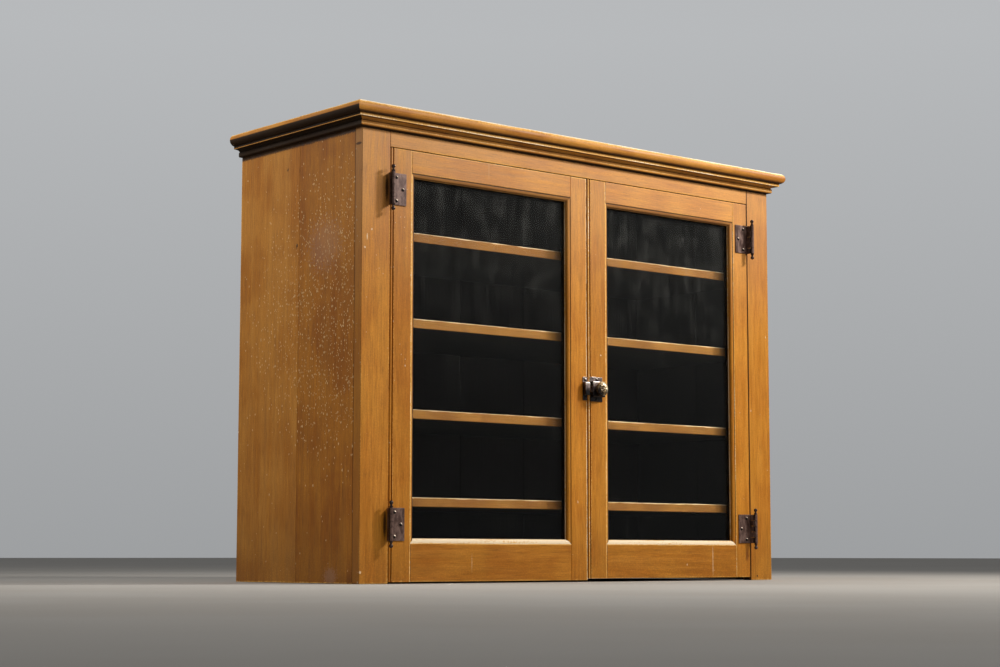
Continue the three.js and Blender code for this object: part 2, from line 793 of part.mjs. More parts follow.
// The knob, its spindle, the cam inside the case and the crank pin turn as one riveted piece.
function addLatchKnob() {
  const camRadius = crankRadius + crankPinRadius + camMargin;
  const camFront = -crankBack + camThickness;
  const neckStart = latchProud + knobGap;
  const headStart = neckStart + knobNeckLength;
  const headDepth = knobProud - headStart;
  const head = [...knobRimShares, ...knobDomeShares].map(([radiusShare, depthShare]) => [
    radiusShare * knobRadius,
    headStart + depthShare * headDepth,
  ]);
  const profile = [
    [0, -crankBack], [camRadius, -crankBack], [camRadius, camFront], [spindleRadius, camFront],
    [spindleRadius, neckStart], [knobNeckRadius, neckStart], [knobNeckRadius, headStart],
    ...head, [0, knobProud],
  ];
  const crankPinFront = camFront - camThickness / 2;
  const crankPin = turned(
    [[0, -boltBack], [crankPinRadius, -boltBack], [crankPinRadius, crankPinFront], [0, crankPinFront]],
    screwSegments,
    crankPinX,
    0,
    latchHeight + crankPinRise,
  );
  place('latch_knob', join(turned(profile, knobSegments, spindleX, 0, latchHeight), crankPin), 'nickel');
}

addSides();
addShelves();
addBack();
addFaceFrame();
addCornice();
addDoor(
  'left_door',
  doorLayout(openingLeft + hingeGap, leftDoorRight, leftDoorFloorGap),
  'hinge',
  'meeting',
);
addDoor(
  'right_door',
  doorLayout(rightDoorLeft, openingRight - hingeGap, rightDoorFloorGap),
  'meeting',
  'hinge',
);
addHinges();
addLatchCase();
addLatchKeeper();
addLatchBolt();
addLatchKnob();

export default cupboard;
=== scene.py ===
"""Dresses the jelly cupboard: worn ochre paint on pine, old glass, rusty hinges and a turn latch."""
import logging
import math
from dataclasses import dataclass, replace
from enum import Enum
from typing import NamedTuple, Sequence

import bmesh
import bpy
from mathutils import Matrix, Vector, noise


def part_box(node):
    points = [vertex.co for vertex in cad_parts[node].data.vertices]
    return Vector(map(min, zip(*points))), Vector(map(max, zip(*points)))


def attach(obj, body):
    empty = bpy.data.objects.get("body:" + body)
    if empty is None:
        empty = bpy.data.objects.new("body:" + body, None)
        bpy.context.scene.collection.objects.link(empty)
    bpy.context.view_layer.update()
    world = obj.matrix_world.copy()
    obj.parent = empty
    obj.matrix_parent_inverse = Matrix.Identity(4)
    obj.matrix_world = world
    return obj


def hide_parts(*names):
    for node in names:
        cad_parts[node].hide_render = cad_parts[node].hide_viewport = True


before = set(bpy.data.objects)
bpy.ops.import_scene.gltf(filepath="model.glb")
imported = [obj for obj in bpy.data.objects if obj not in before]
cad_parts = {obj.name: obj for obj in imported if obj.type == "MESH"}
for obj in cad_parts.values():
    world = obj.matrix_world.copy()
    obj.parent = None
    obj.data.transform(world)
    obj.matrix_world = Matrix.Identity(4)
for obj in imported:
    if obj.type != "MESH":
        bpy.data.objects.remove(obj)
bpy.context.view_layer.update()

LOG = logging.getLogger("cupboard")

Triple = tuple[float, float, float]
Socket = bpy.types.NodeSocket
Material = bpy.types.Material
Mesh = bmesh.types.BMesh


def tone(red: int, green: int, blue: int) -> Triple:
    """Turns a colour as it looks on a screen, 0 to 255, into the linear one that shaders take."""
    return tuple(_linear(value / 255) for value in (red, green, blue))


def _linear(value: float) -> float:
    """Turns one screen value from 0 to 1 into a linear one."""
    return value / 12.92 if value <= 0.04045 else ((value + 0.055) / 1.055) ** 2.4


class Grain(Enum):
    """The way that the wood's fibres and the brush marks run, as how fast a pattern changes each way."""

    UPRIGHT = (1.0, 1.0, 0.06)
    ACROSS = (0.06, 1.0, 1.0)
    DEEP = (1.0, 0.06, 1.0)


class Body(Enum):
    """The bodies that pieces ride on."""

    CASE = "case"
    DOOR_LEFT = "door_left"
    DOOR_RIGHT = "door_right"
    KNOB = "latch_knob"
    BOLT = "latch_bolt"


class Slot(Enum):
    """The record's material slots."""

    FRONT = "front_paint"
    SIDE = "side_paint"
    SHELF = "shelf_paint"
    INTERIOR = "interior"
    BARE = "bare_wood"
    GLASS = "glass"
    IRON = "hinge_iron"
    LATCH = "latch_metal"


class Side(Enum):
    """The faces of a board, each as its axis and whether it lies at the axis's higher end."""

    LEFT = (0, False)
    RIGHT = (0, True)
    FRONT = (1, False)
    BACK = (1, True)
    BOTTOM = (2, False)
    TOP = (2, True)


Arrises = dict[tuple[Side, Side], float]
Stops = Sequence[tuple[float, float]]


# Materials


class Clouds(NamedTuple):
    """Cloudy noise: how many clouds lie in a metre, its finer layers and how strong those are."""

    scale: float
    detail: float = 3.0
    rough: float = 0.55


class Graph:
    """The node tree of a material or a world, with a short method for each kind of node it needs."""

    def __init__(self, name: str, world: bool = False) -> None:
        """Starts an empty material or world.

        Args:
            name: Its name.
            world: Whether it is a world.
        """
        library, kind = (bpy.data.worlds, "World") if world else (bpy.data.materials, "Material")
        self.owner = library.new(name)
        self.owner.use_nodes = True
        self.tree = self.owner.node_tree
        self.tree.nodes.clear()
        self.output = self.node(f"Output{kind}")

    def node(self, kind: str, inputs: dict | None = None, **settings: object) -> bpy.types.Node:
        """Adds a node.

        Args:
            kind: The node's type name, without the ShaderNode that it starts with.
            inputs: Values or sockets for its inputs, by name or index.
            **settings: The node's own properties.

        Returns:
            The new node.
        """
        made = self.tree.nodes.new(f"ShaderNode{kind}")
        for key, value in settings.items():
            setattr(made, key, value)
        for key, value in (inputs or {}).items():
            self.feed(made.inputs[key], value)
        return made

    def feed(self, socket: Socket, value: object) -> None:
        """Links a socket into another one, or sets its value.

        Args:
            socket: The input socket.
            value: An output socket to link, or a plain value.
        """
        if isinstance(value, bpy.types.NodeSocket):
            self.tree.links.new(value, socket)
        elif isinstance(value, tuple) and socket.type == "RGBA":
            socket.default_value = (*value, 1.0)
        else:
            socket.default_value = value

    def position(self) -> Socket:
        """Gives the place on the object in metres."""
        return self.node("TexCoord").outputs["Object"]

    def attribute(self, name: str) -> Socket:
        """Gives a number that the piece's own points carry."""
        return self.node("Attribute", attribute_name=name).outputs["Fac"]

    def vectors(self, operation: str, first: object, second: object) -> Socket:
        """Works a sum on two vectors."""
        return self.node("VectorMath", {0: first, 1: second}, operation=operation).outputs[0]

    def times(self, vector: Socket, factor: object) -> Socket:
        """Scales a vector or colour by one factor."""
        return self.node("VectorMath", {0: vector, "Scale": factor}, operation="SCALE").outputs[0]

    def length(self, vector: Socket) -> Socket:
        """Gives a vector's length."""
        return self.node("VectorMath", {0: vector}, operation="LENGTH").outputs["Value"]

    def part(self, vector: Socket, axis: str) -> Socket:
        """Gives one coordinate of a place."""
        return self.node("SeparateXYZ", {0: vector}).outputs[axis]

    def apart(self, place: Socket, board: Socket) -> Socket:
        """Moves a place far off by the board's number, so that no two boards show the same pattern."""
        number = self.node("CombineXYZ", {0: board, 1: board, 2: board}).outputs[0]
        return self.vectors("ADD", place, self.vectors("MULTIPLY", number, (0.37, 0.91, 0.53)))

    def drawn(self, vector: Socket, stretch: float) -> Socket:
        """Draws a pattern out downwards, where it then changes by the given share of its pace."""
        return self.vectors("MULTIPLY", vector, (1.0, 1.0, stretch))

    def noise(self, vector: Socket, clouds: Clouds) -> Socket:
        """Gives cloudy noise from 0 to 1."""
        inputs = {"Vector": vector, "Scale": clouds.scale, "Detail": clouds.detail, "Roughness": clouds.rough}
        return self.node("TexNoise", inputs).outputs[0]

    def cells(self, vector: Socket, scale: float) -> bpy.types.Node:
        """Gives scattered points, as a node with each place's distance and random colour."""
        return self.node("TexVoronoi", {"Vector": vector, "Scale": scale, "Randomness": 1.0})

    def kept(self, cells: bpy.types.Node, share: object) -> Socket:
        """Gives 1 round the share of scattered points that luck keeps, and 0 round the others."""
        return self.below(self.part(cells.outputs["Color"], "X"), share)

    def sums(self, operation: str, first: object, second: object = 0.0, third: object = 0.0) -> Socket:
        """Works a sum on numbers or sockets."""
        inputs = {0: first, 1: second, 2: third}
        return self.node("Math", inputs, operation=operation).outputs[0]

    def total(self, first: object, second: object) -> Socket:
        """Adds two numbers."""
        return self.sums("ADD", first, second)

    def product(self, first: object, second: object) -> Socket:
        """Multiplies two numbers."""
        return self.sums("MULTIPLY", first, second)

    def scaled(self, value: object, factor: object, more: object) -> Socket:
        """Multiplies a number by a factor and adds another one to it."""
        return self.sums("MULTIPLY_ADD", value, factor, more)

    def below(self, value: object, limit: object) -> Socket:
        """Gives 1 where a number is below a limit, and 0 elsewhere."""
        return self.sums("LESS_THAN", value, limit)

    def ramp(self, value: object, low: float, high: float, start: float = 0.0, end: float = 1.0) -> Socket:
        """Carries a number smoothly from one range to another, and holds it at the ends."""
        inputs = {"Value": value, "From Min": low, "From Max": high, "To Min": start, "To Max": end}
        return self.node("MapRange", inputs, interpolation_type="SMOOTHSTEP").outputs[0]

    def spread(self, value: object, start: float, end: float) -> Socket:
        """Carries the range in which most of a noise lies to another one."""
        return self.ramp(value, 0.3, 0.7, start, end)

    def blend(self, factor: object, first: object, second: object) -> Socket:
        """Blends two colours.

        Args:
            factor: How much of the second one shows, from 0 to 1.
            first: A colour.
            second: The other one.

        Returns:
            The new colour.
        """
        made = self.node("Mix", data_type="RGBA")
        self.feed(made.inputs["Factor"], factor)
        self.feed(made.inputs[6], first)
        self.feed(made.inputs[7], second)
        return made.outputs[2]

    def bump(self, height: object, distance: float) -> Socket:
        """Gives a normal from a height that is scaled to a distance in metres."""
        return self.node("Bump", {"Height": height, "Distance": distance}).outputs[0]

    def principled(self, **inputs: object) -> Socket:
        """Adds a principled shader, whose inputs have underscores for the spaces in their names."""
        named = {key.replace("_", " "): value for key, value in inputs.items()}
        return self.node("BsdfPrincipled", named).outputs[0]

    def ended(self, shader: Socket) -> bpy.types.ID:
        """Ends the tree with a shader and gives its material or world."""
        self.tree.links.new(shader, self.output.inputs["Surface"])
        return self.owner

    def surface(self, **inputs: object) -> Material:
        """Ends a material with a principled shader and gives the material."""
        return self.ended(self.principled(**inputs))


DULL = 0.2
STAIN_AND_SHADE = (tone(22, 17, 14), tone(34, 27, 22))


def stained_and_shaded(graph: Graph, fibres: Socket) -> Socket:
    """Gives the near-black colour of the inside over the wood's grain: a dark stain, made darker as painted
    shade of the unlit inside.
    """
    return graph.blend(graph.ramp(fibres, 0.35, 0.7), *STAIN_AND_SHADE)


@dataclass(frozen=True)
class Splashes:
    """Pale spots of paint thrown on a surface, thickest round one place and drawn out downwards."""

    centre: Triple
    reach: float
    fewest: float
    most: float
    colour: Triple = tone(232, 205, 168)
    stretch: float = 0.6
    patches: Clouds = Clouds(17.0, 2.0)
    fray: Clouds = Clouds(900.0, 1.0)
    spots_per_metre: Stops = ((150.0, 0.26), (300.0, 0.42), (40.0, 0.065))

    def mask(self, graph: Graph, place: Socket, seeded: Socket) -> Socket:
        """Builds the nodes that say where the spots are.

        Args:
            graph: The material's nodes.
            place: The place on the object.
            seeded: The same place moved off by the board's number.

        Returns:
            A number from 0 to 1, 1 on a spot.
        """
        away = graph.length(graph.vectors("SUBTRACT", place, self.centre))
        near = graph.ramp(away, 0.0, self.reach, self.most, self.fewest)
        share = graph.product(near, graph.spread(graph.noise(place, self.patches), 0.5, 1.6))
        drawn = graph.drawn(seeded, self.stretch)
        ragged = graph.spread(graph.noise(place, self.fray), -0.05, 0.05)
        spots = 0.0
        for scale, largest in self.spots_per_metre:
            cells = graph.cells(drawn, scale)
            size = graph.product(graph.part(cells.outputs["Color"], "Y"), largest)
            inside = graph.below(graph.total(cells.outputs["Distance"], ragged), size)
            spots = graph.sums("MAXIMUM", spots, graph.product(inside, graph.kept(cells, share)))
        return spots


@dataclass(frozen=True)
class Mark:
    """One drip, stain, scratch or hole at a known place."""

    place: Triple
    reach: Triple
    colour: Triple
    strength: float = 0.8
    ragged: float = 0.35
    blur_out: float = 0.2
    blur_in: float = 0.3

    def laid(self, graph: Graph, position: Socket, rough: Socket, colour: Socket) -> Socket:
        """Lays the mark over a colour.

        Args:
            graph: The material's nodes.
            position: The place on the object.
            rough: Noise round 0.5 that frays the mark's rim.
            colour: The colour under it.

        Returns:
            The new colour.
        """
        offset = graph.vectors("DIVIDE", graph.vectors("SUBTRACT", position, self.place), self.reach)
        frayed = graph.scaled(rough, 4 * self.ragged, graph.length(offset))
        rim = 1 + 2 * self.ragged
        inside = graph.ramp(frayed, rim + self.blur_out, rim - self.blur_in, 0.0, self.strength)
        return graph.blend(inside, colour, self.colour)


@dataclass(frozen=True)
class Lining:
    """Dark stain and painted shade on the inward side of a board, up to a place along one axis."""

    axis: str
    at: float
    mirrored: bool = False

    def laid(self, graph: Graph, position: Socket, fibres: Socket, colour: Socket) -> Socket:
        """Lays the stain and its painted shade over a colour.

        Args:
            graph: The material's nodes.
            position: The place on the object.
            fibres: The wood's grain.
            colour: The colour of the outward side.

        Returns:
            The new colour.
        """
        value = graph.part(position, self.axis)
        if self.mirrored:
            value = graph.sums("ABSOLUTE", value)
        return graph.blend(graph.below(value, self.at), colour, stained_and_shaded(graph, fibres))


class Ground(NamedTuple):
    """The places and patterns on a board that the layers of its paint are worked out from."""

    place: Socket
    seeded: Socket
    board: Socket
    wear: Socket
    fibres: Socket
    streaks: Socket
    bands: Socket
    clouds: Socket
    speckle: Socket


@dataclass(frozen=True)
class WornPaint:
    """Brushed ochre paint over pine, rubbed through to the pale first coat at the arrises."""

    name: str
    grain: Grain
    splashes: Splashes
    paint: Triple = tone(198, 128, 34)
    warm: Triple = tone(204, 140, 50)
    deep: Triple = tone(185, 113, 24)
    rubbed: Triple = tone(228, 172, 86)
    pale: Triple = tone(248, 226, 192)
    # The pale tint of the painted sheen towards the top.
    painted_sheen: Triple = tone(232, 218, 196)
    # The dark of pores and nicks, and the colour of painted shade.
    grime_and_shade: Triple = tone(30, 16, 7)
    fibres: Clouds = Clouds(520.0, 3.0, 0.6)
    streaks: Clouds = Clouds(130.0)
    bands: Clouds = Clouds(32.0, 2.0, 0.5)
    clouds: Clouds = Clouds(8.0, 3.0, 0.5)
    speckle: Clouds = Clouds(320.0, 2.0, 0.6)
    figure: float = 0.5
    streaked: float = 0.4
    painted_sheen_share: float = 0.12
    soiled: float = 0.33
    chips_per_metre: float = 30.0
    chips_kept: float = 0.035
    marks: tuple[Mark, ...] = ()
    lining: Lining | None = None
    roughness: float = 0.52
    relief: float = 0.0004

    def material(self) -> Material:
        """Builds the paint, layer on layer.

        Returns:
            The material.
        """
        graph = Graph(self.name)
        ground = self._ground(graph)
        colour = self._sheened_and_soiled(graph, ground, self._brushed(graph, ground))

        rub = graph.total(ground.wear, graph.spread(ground.streaks, -0.16, 0.16))
        rub = graph.total(rub, graph.spread(ground.speckle, -0.14, 0.14))
        through = graph.ramp(rub, 0.72, 0.92)
        colour = graph.blend(graph.ramp(rub, 0.2, 0.6), colour, self.rubbed)
        colour = graph.blend(through, colour, self.pale)
        # Where the points' wear falls below zero, the paint takes painted shade, with some dirt, in hollows,
        # undersides and gaps.
        colour = graph.blend(graph.ramp(ground.wear, -0.1, -0.8, 0.0, 0.96), colour, self.grime_and_shade)

        spots = self.splashes.mask(graph, ground.place, ground.seeded)
        colour = graph.blend(graph.product(spots, 0.85), colour, self.splashes.colour)
        chips = self._chips(graph, ground.seeded)
        colour = graph.blend(chips, colour, self.grime_and_shade)
        for mark in self.marks:
            colour = mark.laid(graph, ground.place, ground.speckle, colour)
        if self.lining:
            colour = self.lining.laid(graph, ground.place, ground.fibres, colour)

        height = graph.scaled(ground.fibres, 0.3, graph.product(ground.streaks, 0.4))
        height = graph.scaled(through, -0.35, height)
        height = graph.scaled(spots, 0.5, height)
        normal = graph.bump(graph.sums("SUBTRACT", height, chips), self.relief)
        rough = graph.spread(ground.streaks, self.roughness - 0.07, self.roughness + 0.12)
        rough = graph.scaled(through, 0.15, rough)
        return graph.surface(Base_Color=colour, Roughness=rough, Specular_IOR_Level=DULL, Normal=normal)

    def _ground(self, graph: Graph) -> Ground:
        """Builds what the layers are worked out from.

        Args:
            graph: The material's nodes.

        Returns:
            The places and patterns.
        """
        place = graph.position()
        board = graph.attribute("board")
        seeded = graph.apart(place, board)
        lengthways = graph.vectors("MULTIPLY", seeded, self.grain.value)
        along = [graph.noise(lengthways, clouds) for clouds in (self.fibres, self.streaks, self.bands)]
        evenly = [graph.noise(seeded, clouds) for clouds in (self.clouds, self.speckle)]
        return Ground(place, seeded, board, graph.attribute("wear"), *along, *evenly)

    def _brushed(self, graph: Graph, ground: Ground) -> Socket:
        """Builds the brushed coat, with the wood's figure and each board's own shade.

        Args:
            graph: The material's nodes.
            ground: The places and patterns.

        Returns:
            Its colour.
        """
        colour = graph.blend(graph.ramp(ground.clouds, 0.38, 0.62), self.deep, self.paint)
        wide = graph.ramp(ground.bands, 0.4, 0.62, 0.0, 0.6)
        narrow = graph.ramp(ground.streaks, 0.45, 0.65, 0.0, 0.4)
        colour = graph.blend(graph.product(graph.total(wide, narrow), self.streaked), colour, self.warm)
        light = graph.scaled(ground.fibres, self.figure, 1 - self.figure / 2)
        light = graph.scaled(ground.streaks, self.figure, graph.total(light, -self.figure / 2))
        luck = graph.sums("FRACT", graph.product(ground.board, 0.618))
        light = graph.product(light, graph.ramp(luck, 0.0, 1.0, 0.95, 1.05))
        light = graph.product(light, graph.spread(ground.speckle, 0.93, 1.07))
        pores = graph.ramp(ground.fibres, 0.4, 0.28, 0.0, 0.22)
        return graph.blend(pores, graph.times(colour, light), self.grime_and_shade)

    def _sheened_and_soiled(self, graph: Graph, ground: Ground, colour: Socket) -> Socket:
        """Pales a colour towards the top as a painted sheen, and soils it towards the floor.

        Args:
            graph: The material's nodes.
            ground: The places and patterns.
            colour: The colour.

        Returns:
            The new colour.
        """
        rise = graph.part(ground.place, "Z")
        # A painted sheen: the paint pales towards the top, where a high lamp's sheen would lie.
        colour = graph.blend(graph.ramp(rise, 0.5, 0.95, 0.0, self.painted_sheen_share), colour, self.painted_sheen)
        low = graph.product(graph.ramp(rise, 0.2, 0.0), graph.ramp(ground.speckle, 0.3, 0.6))
        return graph.blend(graph.product(low, self.soiled), colour, self.grime_and_shade)

    def _chips(self, graph: Graph, seeded: Socket) -> Socket:
        """Builds a few dark nicks.

        Args:
            graph: The material's nodes.
            seeded: The place, moved off by the board's number.

        Returns:
            A number from 0 to 1, high in a nick.
        """
        cells = graph.cells(graph.drawn(seeded, 0.6), self.chips_per_metre)
        inside = graph.ramp(cells.outputs["Distance"], 0.02, 0.04, 0.9, 0.0)
        return graph.product(inside, graph.kept(cells, self.chips_kept))


@dataclass(frozen=True)
class DarkWood:
    """Near-black wood inside the case, a dark stain made darker as painted shade, with a painted front edge
    where a piece has one.
    """

    name: str
    grain: Grain
    edge_back: float = -10.0
    edge: Triple = tone(144, 98, 36)
    edge_deep: Triple = tone(129, 83, 26)
    pale: Triple = tone(226, 204, 168)
    fibres: Clouds = Clouds(380.0, 4.0, 0.6)
    clouds: Clouds = Clouds(10.0, 3.0, 0.5)

    def material(self) -> Material:
        """Builds the stain and its painted shade, and the painted front edge up to its place along the depth.

        Returns:
            The material.
        """
        graph = Graph(self.name)
        place = graph.position()
        seeded = graph.apart(place, graph.attribute("board"))
        fibres = graph.noise(graph.vectors("MULTIPLY", seeded, self.grain.value), self.fibres)
        clouds = graph.noise(seeded, self.clouds)
        painted = graph.blend(graph.ramp(clouds, 0.38, 0.62), self.edge_deep, self.edge)
        painted = graph.times(painted, graph.scaled(fibres, 0.7, 0.65))
        rub = graph.total(graph.attribute("wear"), graph.spread(fibres, -0.2, 0.2))
        painted = graph.blend(graph.ramp(rub, 0.5, 0.9), painted, self.pale)
        depth = graph.total(graph.part(place, "Y"), graph.spread(fibres, -0.0008, 0.0008))
        colour = graph.blend(graph.below(depth, self.edge_back), stained_and_shaded(graph, fibres), painted)
        normal = graph.bump(fibres, 0.0004)
        return graph.surface(Base_Color=colour, Roughness=0.75, Specular_IOR_Level=DULL, Normal=normal)


@dataclass(frozen=True)
class BareWood:
    """Old unfinished pine with rings, knots and dust."""

    name: str
    grain: Grain
    lining: Lining
    early: Triple = tone(146, 110, 73)
    late: Triple = tone(104, 72, 45)
    knot: Triple = tone(52, 33, 20)
    dust: Triple = tone(160, 140, 114)
    figure: Clouds = Clouds(16.0, 2.0, 0.45)
    fibres: Clouds = Clouds(520.0, 4.0, 0.65)
    clouds: Clouds = Clouds(8.0)
    rings: float = 15.0
    knots_per_metre: float = 5.0
    knots_kept: float = 0.3

    def material(self) -> Material:
        """Builds the wood.

        Returns:
            The material.
        """
        graph = Graph(self.name)
        place = graph.position()
        seeded = graph.apart(place, graph.attribute("board"))
        lengthways = graph.vectors("MULTIPLY", seeded, self.grain.value)
        figure = graph.noise(lengthways, self.figure)
        rings = graph.sums("FRACT", graph.product(figure, self.rings))
        late = graph.ramp(graph.sums("ABSOLUTE", graph.sums("SUBTRACT", rings, 0.5)), 0.16, 0.5, 1.0, 0.0)
        fibres = graph.noise(lengthways, self.fibres)
        clouds = graph.noise(seeded, self.clouds)
        colour = graph.blend(graph.product(late, 0.7), self.early, self.late)
        colour = graph.blend(graph.ramp(fibres, 0.5, 0.3, 0.0, 0.5), colour, self.knot)
        cells = graph.cells(graph.drawn(seeded, 0.5), self.knots_per_metre)
        eye = graph.ramp(cells.outputs["Distance"], 0.03, 0.085, 1.0, 0.0)
        colour = graph.blend(graph.product(eye, graph.kept(cells, self.knots_kept)), colour, self.knot)
        colour = graph.blend(graph.ramp(clouds, 0.5, 0.8, 0.0, 0.5), colour, self.dust)
        colour = self.lining.laid(graph, place, fibres, colour)
        normal = graph.bump(graph.scaled(late, 0.3, fibres), 0.0006)
        return graph.surface(Base_Color=colour, Roughness=0.86, Specular_IOR_Level=DULL, Normal=normal)


@dataclass(frozen=True)
class OldGlass:
    """Thin window glass with a faint ripple, a film of dust, wiped streaks and hairline scratches."""

    name: str = "old_glass"
    tint: Triple = tone(245, 245, 242)
    film: Triple = tone(150, 150, 145)
    haze: float = 0.02
    ripple: Clouds = Clouds(9.0, 1.0, 0.4)
    dust: Clouds = Clouds(22.0, 4.0, 0.6)
    wiping: Clouds = Clouds(70.0, 3.0, 0.6)
    hairs: Clouds = Clouds(26.0, 1.0, 0.3)
    scratched: Clouds = Clouds(6.0, 1.0, 0.5)

    def material(self) -> Material:
        """Builds the glass, as a clear pane that lamps shine through, under a thin veil of dust.

        Returns:
            The material.
        """
        graph = Graph(self.name)
        place = graph.position()
        normal = graph.bump(graph.noise(graph.drawn(place, 0.4), self.ripple), 0.001)
        clear = graph.principled(
            Base_Color=self.tint, Roughness=0.0, IOR=1.15, Transmission_Weight=1.0, Normal=normal
        )
        dust = graph.principled(Base_Color=self.film, Roughness=0.9)
        seen = graph.node("MixShader", {0: self._veil(graph, place), 1: clear, 2: dust})
        lamps = graph.node("LightPath").outputs["Is Shadow Ray"]
        passed = graph.node("BsdfTransparent", {"Color": self.tint})
        mixed = graph.node("MixShader", {0: lamps, 1: seen.outputs[0], 2: passed.outputs[0]})
        return graph.ended(mixed.outputs[0])

    def _veil(self, graph: Graph, place: Socket) -> Socket:
        """Builds how thick the dust and the scratches lie.

        Args:
            graph: The material's nodes.
            place: The place on the object.

        Returns:
            A number from 0 to 1.
        """
        dusty = graph.ramp(graph.noise(place, self.dust), 0.42, 0.7, 0.3, 1.0)
        wiped = graph.ramp(graph.noise(graph.drawn(place, 0.12), self.wiping), 0.35, 0.7, 0.5, 1.5)
        # The film thickens towards the top, which pales the pane there.
        rising = graph.ramp(graph.part(place, "Z"), 0.3, 0.9, 0.15, 2.2)
        veil = graph.product(graph.product(graph.product(dusty, wiped), rising), self.haze)
        hairs = graph.noise(graph.drawn(place, 0.22), self.hairs)
        line = graph.ramp(graph.sums("ABSOLUTE", graph.sums("SUBTRACT", hairs, 0.5)), 0.0006, 0.002, 1.0, 0.0)
        scratch = graph.product(line, graph.ramp(graph.noise(place, self.scratched), 0.56, 0.66))
        return graph.scaled(scratch, 0.12, veil)


@dataclass(frozen=True)
class AgedMetal:
    """Metal under a blotched patina: high wear rubs it brighter, on screws and the knob as a painted
    highlight; it is black in its hollows and in painted shade below zero.
    """

    name: str
    patina: Triple = tone(78, 54, 46)
    bloom: Triple = tone(118, 92, 82)
    shade: Triple = tone(16, 9, 8)
    bright: Triple = tone(232, 214, 192)
    blotches: Clouds = Clouds(110.0, 4.0, 0.6)
    grit: Clouds = Clouds(900.0, 3.0, 0.6)
    metallic: float = 0.4
    roughness: float = 0.42
    bright_from: float = 0.6

    def material(self) -> Material:
        """Builds the metal.

        Returns:
            The material.
        """
        graph = Graph(self.name)
        wear = graph.attribute("wear")
        seeded = graph.apart(graph.position(), graph.attribute("board"))
        blotches = graph.noise(graph.drawn(seeded, 0.5), self.blotches)
        grit = graph.noise(seeded, self.grit)
        colour = graph.blend(graph.ramp(blotches, 0.38, 0.64), self.patina, self.bloom)
        colour = graph.blend(graph.ramp(grit, 0.46, 0.3, 0.0, 0.6), colour, self.shade)
        rub = graph.total(wear, graph.spread(grit, -0.16, 0.16))
        colour = graph.blend(graph.ramp(rub, self.bright_from, self.bright_from + 0.25), colour, self.bright)
        colour = graph.blend(graph.ramp(wear, -0.1, -0.6), colour, self.shade)
        rough = graph.spread(blotches, self.roughness - 0.1, self.roughness + 0.16)
        normal = graph.bump(grit, 0.0002)
        return graph.surface(Base_Color=colour, Roughness=rough, Metallic=self.metallic, Normal=normal)


@dataclass(frozen=True)
class StudioFloor:
    """A plain pale floor with the faintest mottle."""

    name: str = "studio_floor"
    colour: Triple = tone(180, 176, 170)
    other: Triple = tone(175, 170, 163)

    def material(self) -> Material:
        """Builds the floor's finish.

        Returns:
            The material.
        """
        graph = Graph(self.name)
        clouds = graph.noise(graph.position(), Clouds(1.6))
        colour = graph.blend(graph.ramp(clouds, 0.35, 0.65), self.colour, self.other)
        return graph.surface(Base_Color=colour, Roughness=0.85, Specular_IOR_Level=DULL)


# Shaping


MERGE = 1e-6
WEAR_FADE = 0.0035
WAVES_PER_METRE = 7.0
DENTS_PER_METRE = 75.0
SEED_STEPS = (3.1, 1.7, 0.9)


class Corner(NamedTuple):
    """A point of an outline, how worn and how shaded the surface is there, and how far its corner is eased.
    """

    across: float
    up: float
    wear: float = 0.0
    ease: float = 0.0

    def beside(self, way: Vector, wear: float = 0.0) -> "Corner":
        """Gives a point beside this one."""
        return Corner(self.across + way.x, self.up + way.y, wear)


@dataclass(frozen=True)
class Seat:
    """Where a run lies: its outline's origin and two directions, and the way that it runs."""

    origin: Triple
    across: Triple = (1, 0, 0)
    up: Triple = (0, 1, 0)
    along: Triple = (0, 0, 1)

    def matrix(self) -> Matrix:
        """Works out where the run goes.

        Returns:
            The matrix that carries it to its place.
        """
        columns = (self.across, self.up, self.along, self.origin)
        rows = [[column[row] for column in columns] for row in range(3)]
        return Matrix([*rows, [0.0, 0.0, 0.0, 1.0]])


def bend(start: Corner, pull: Corner, end: Corner, steps: int) -> list[Corner]:
    """Gives points on a quadratic curve.

    Args:
        start: Its first point.
        pull: The point that it bends towards.
        end: Its last point.
        steps: How many pieces it has.

    Returns:
        The points, with both ends, whose wear runs from one end's to the other's.
    """
    corners = (start, pull, end)
    points = []
    for index in range(steps + 1):
        t = index / steps
        weights = ((1 - t) ** 2, 2 * t * (1 - t), t**2)
        across = sum(weight * corner.across for weight, corner in zip(weights, corners))
        up = sum(weight * corner.up for weight, corner in zip(weights, corners))
        points.append(Corner(across, up, start.wear + (end.wear - start.wear) * t))
    return points


def arc(centre: tuple[float, float], radius: float, start: float, end: float, steps: int) -> list[Corner]:
    """Gives points on an arc between two angles in degrees."""
    angles = [math.radians(start + (end - start) * index / steps) for index in range(steps + 1)]
    return [Corner(centre[0] + radius * math.cos(a), centre[1] + radius * math.sin(a)) for a in angles]


def between(stops: Stops, share: float) -> float:
    """Finds the value at a place along a list of stops.

    Args:
        stops: Pairs of a place and the value there.
        share: The place.

    Returns:
        The value.
    """
    for (before, first), (after, second) in zip(stops, stops[1:]):
        if share <= after:
            return first + (second - first) * (share - before) / (after - before)
    return stops[-1][1]


def worn_along(points: Sequence[Corner], stops: Stops) -> list[Corner]:
    """Gives the points of a curve the wear that the stops set along it."""
    last = len(points) - 1
    return [point._replace(wear=between(stops, index / last)) for index, point in enumerate(points)]


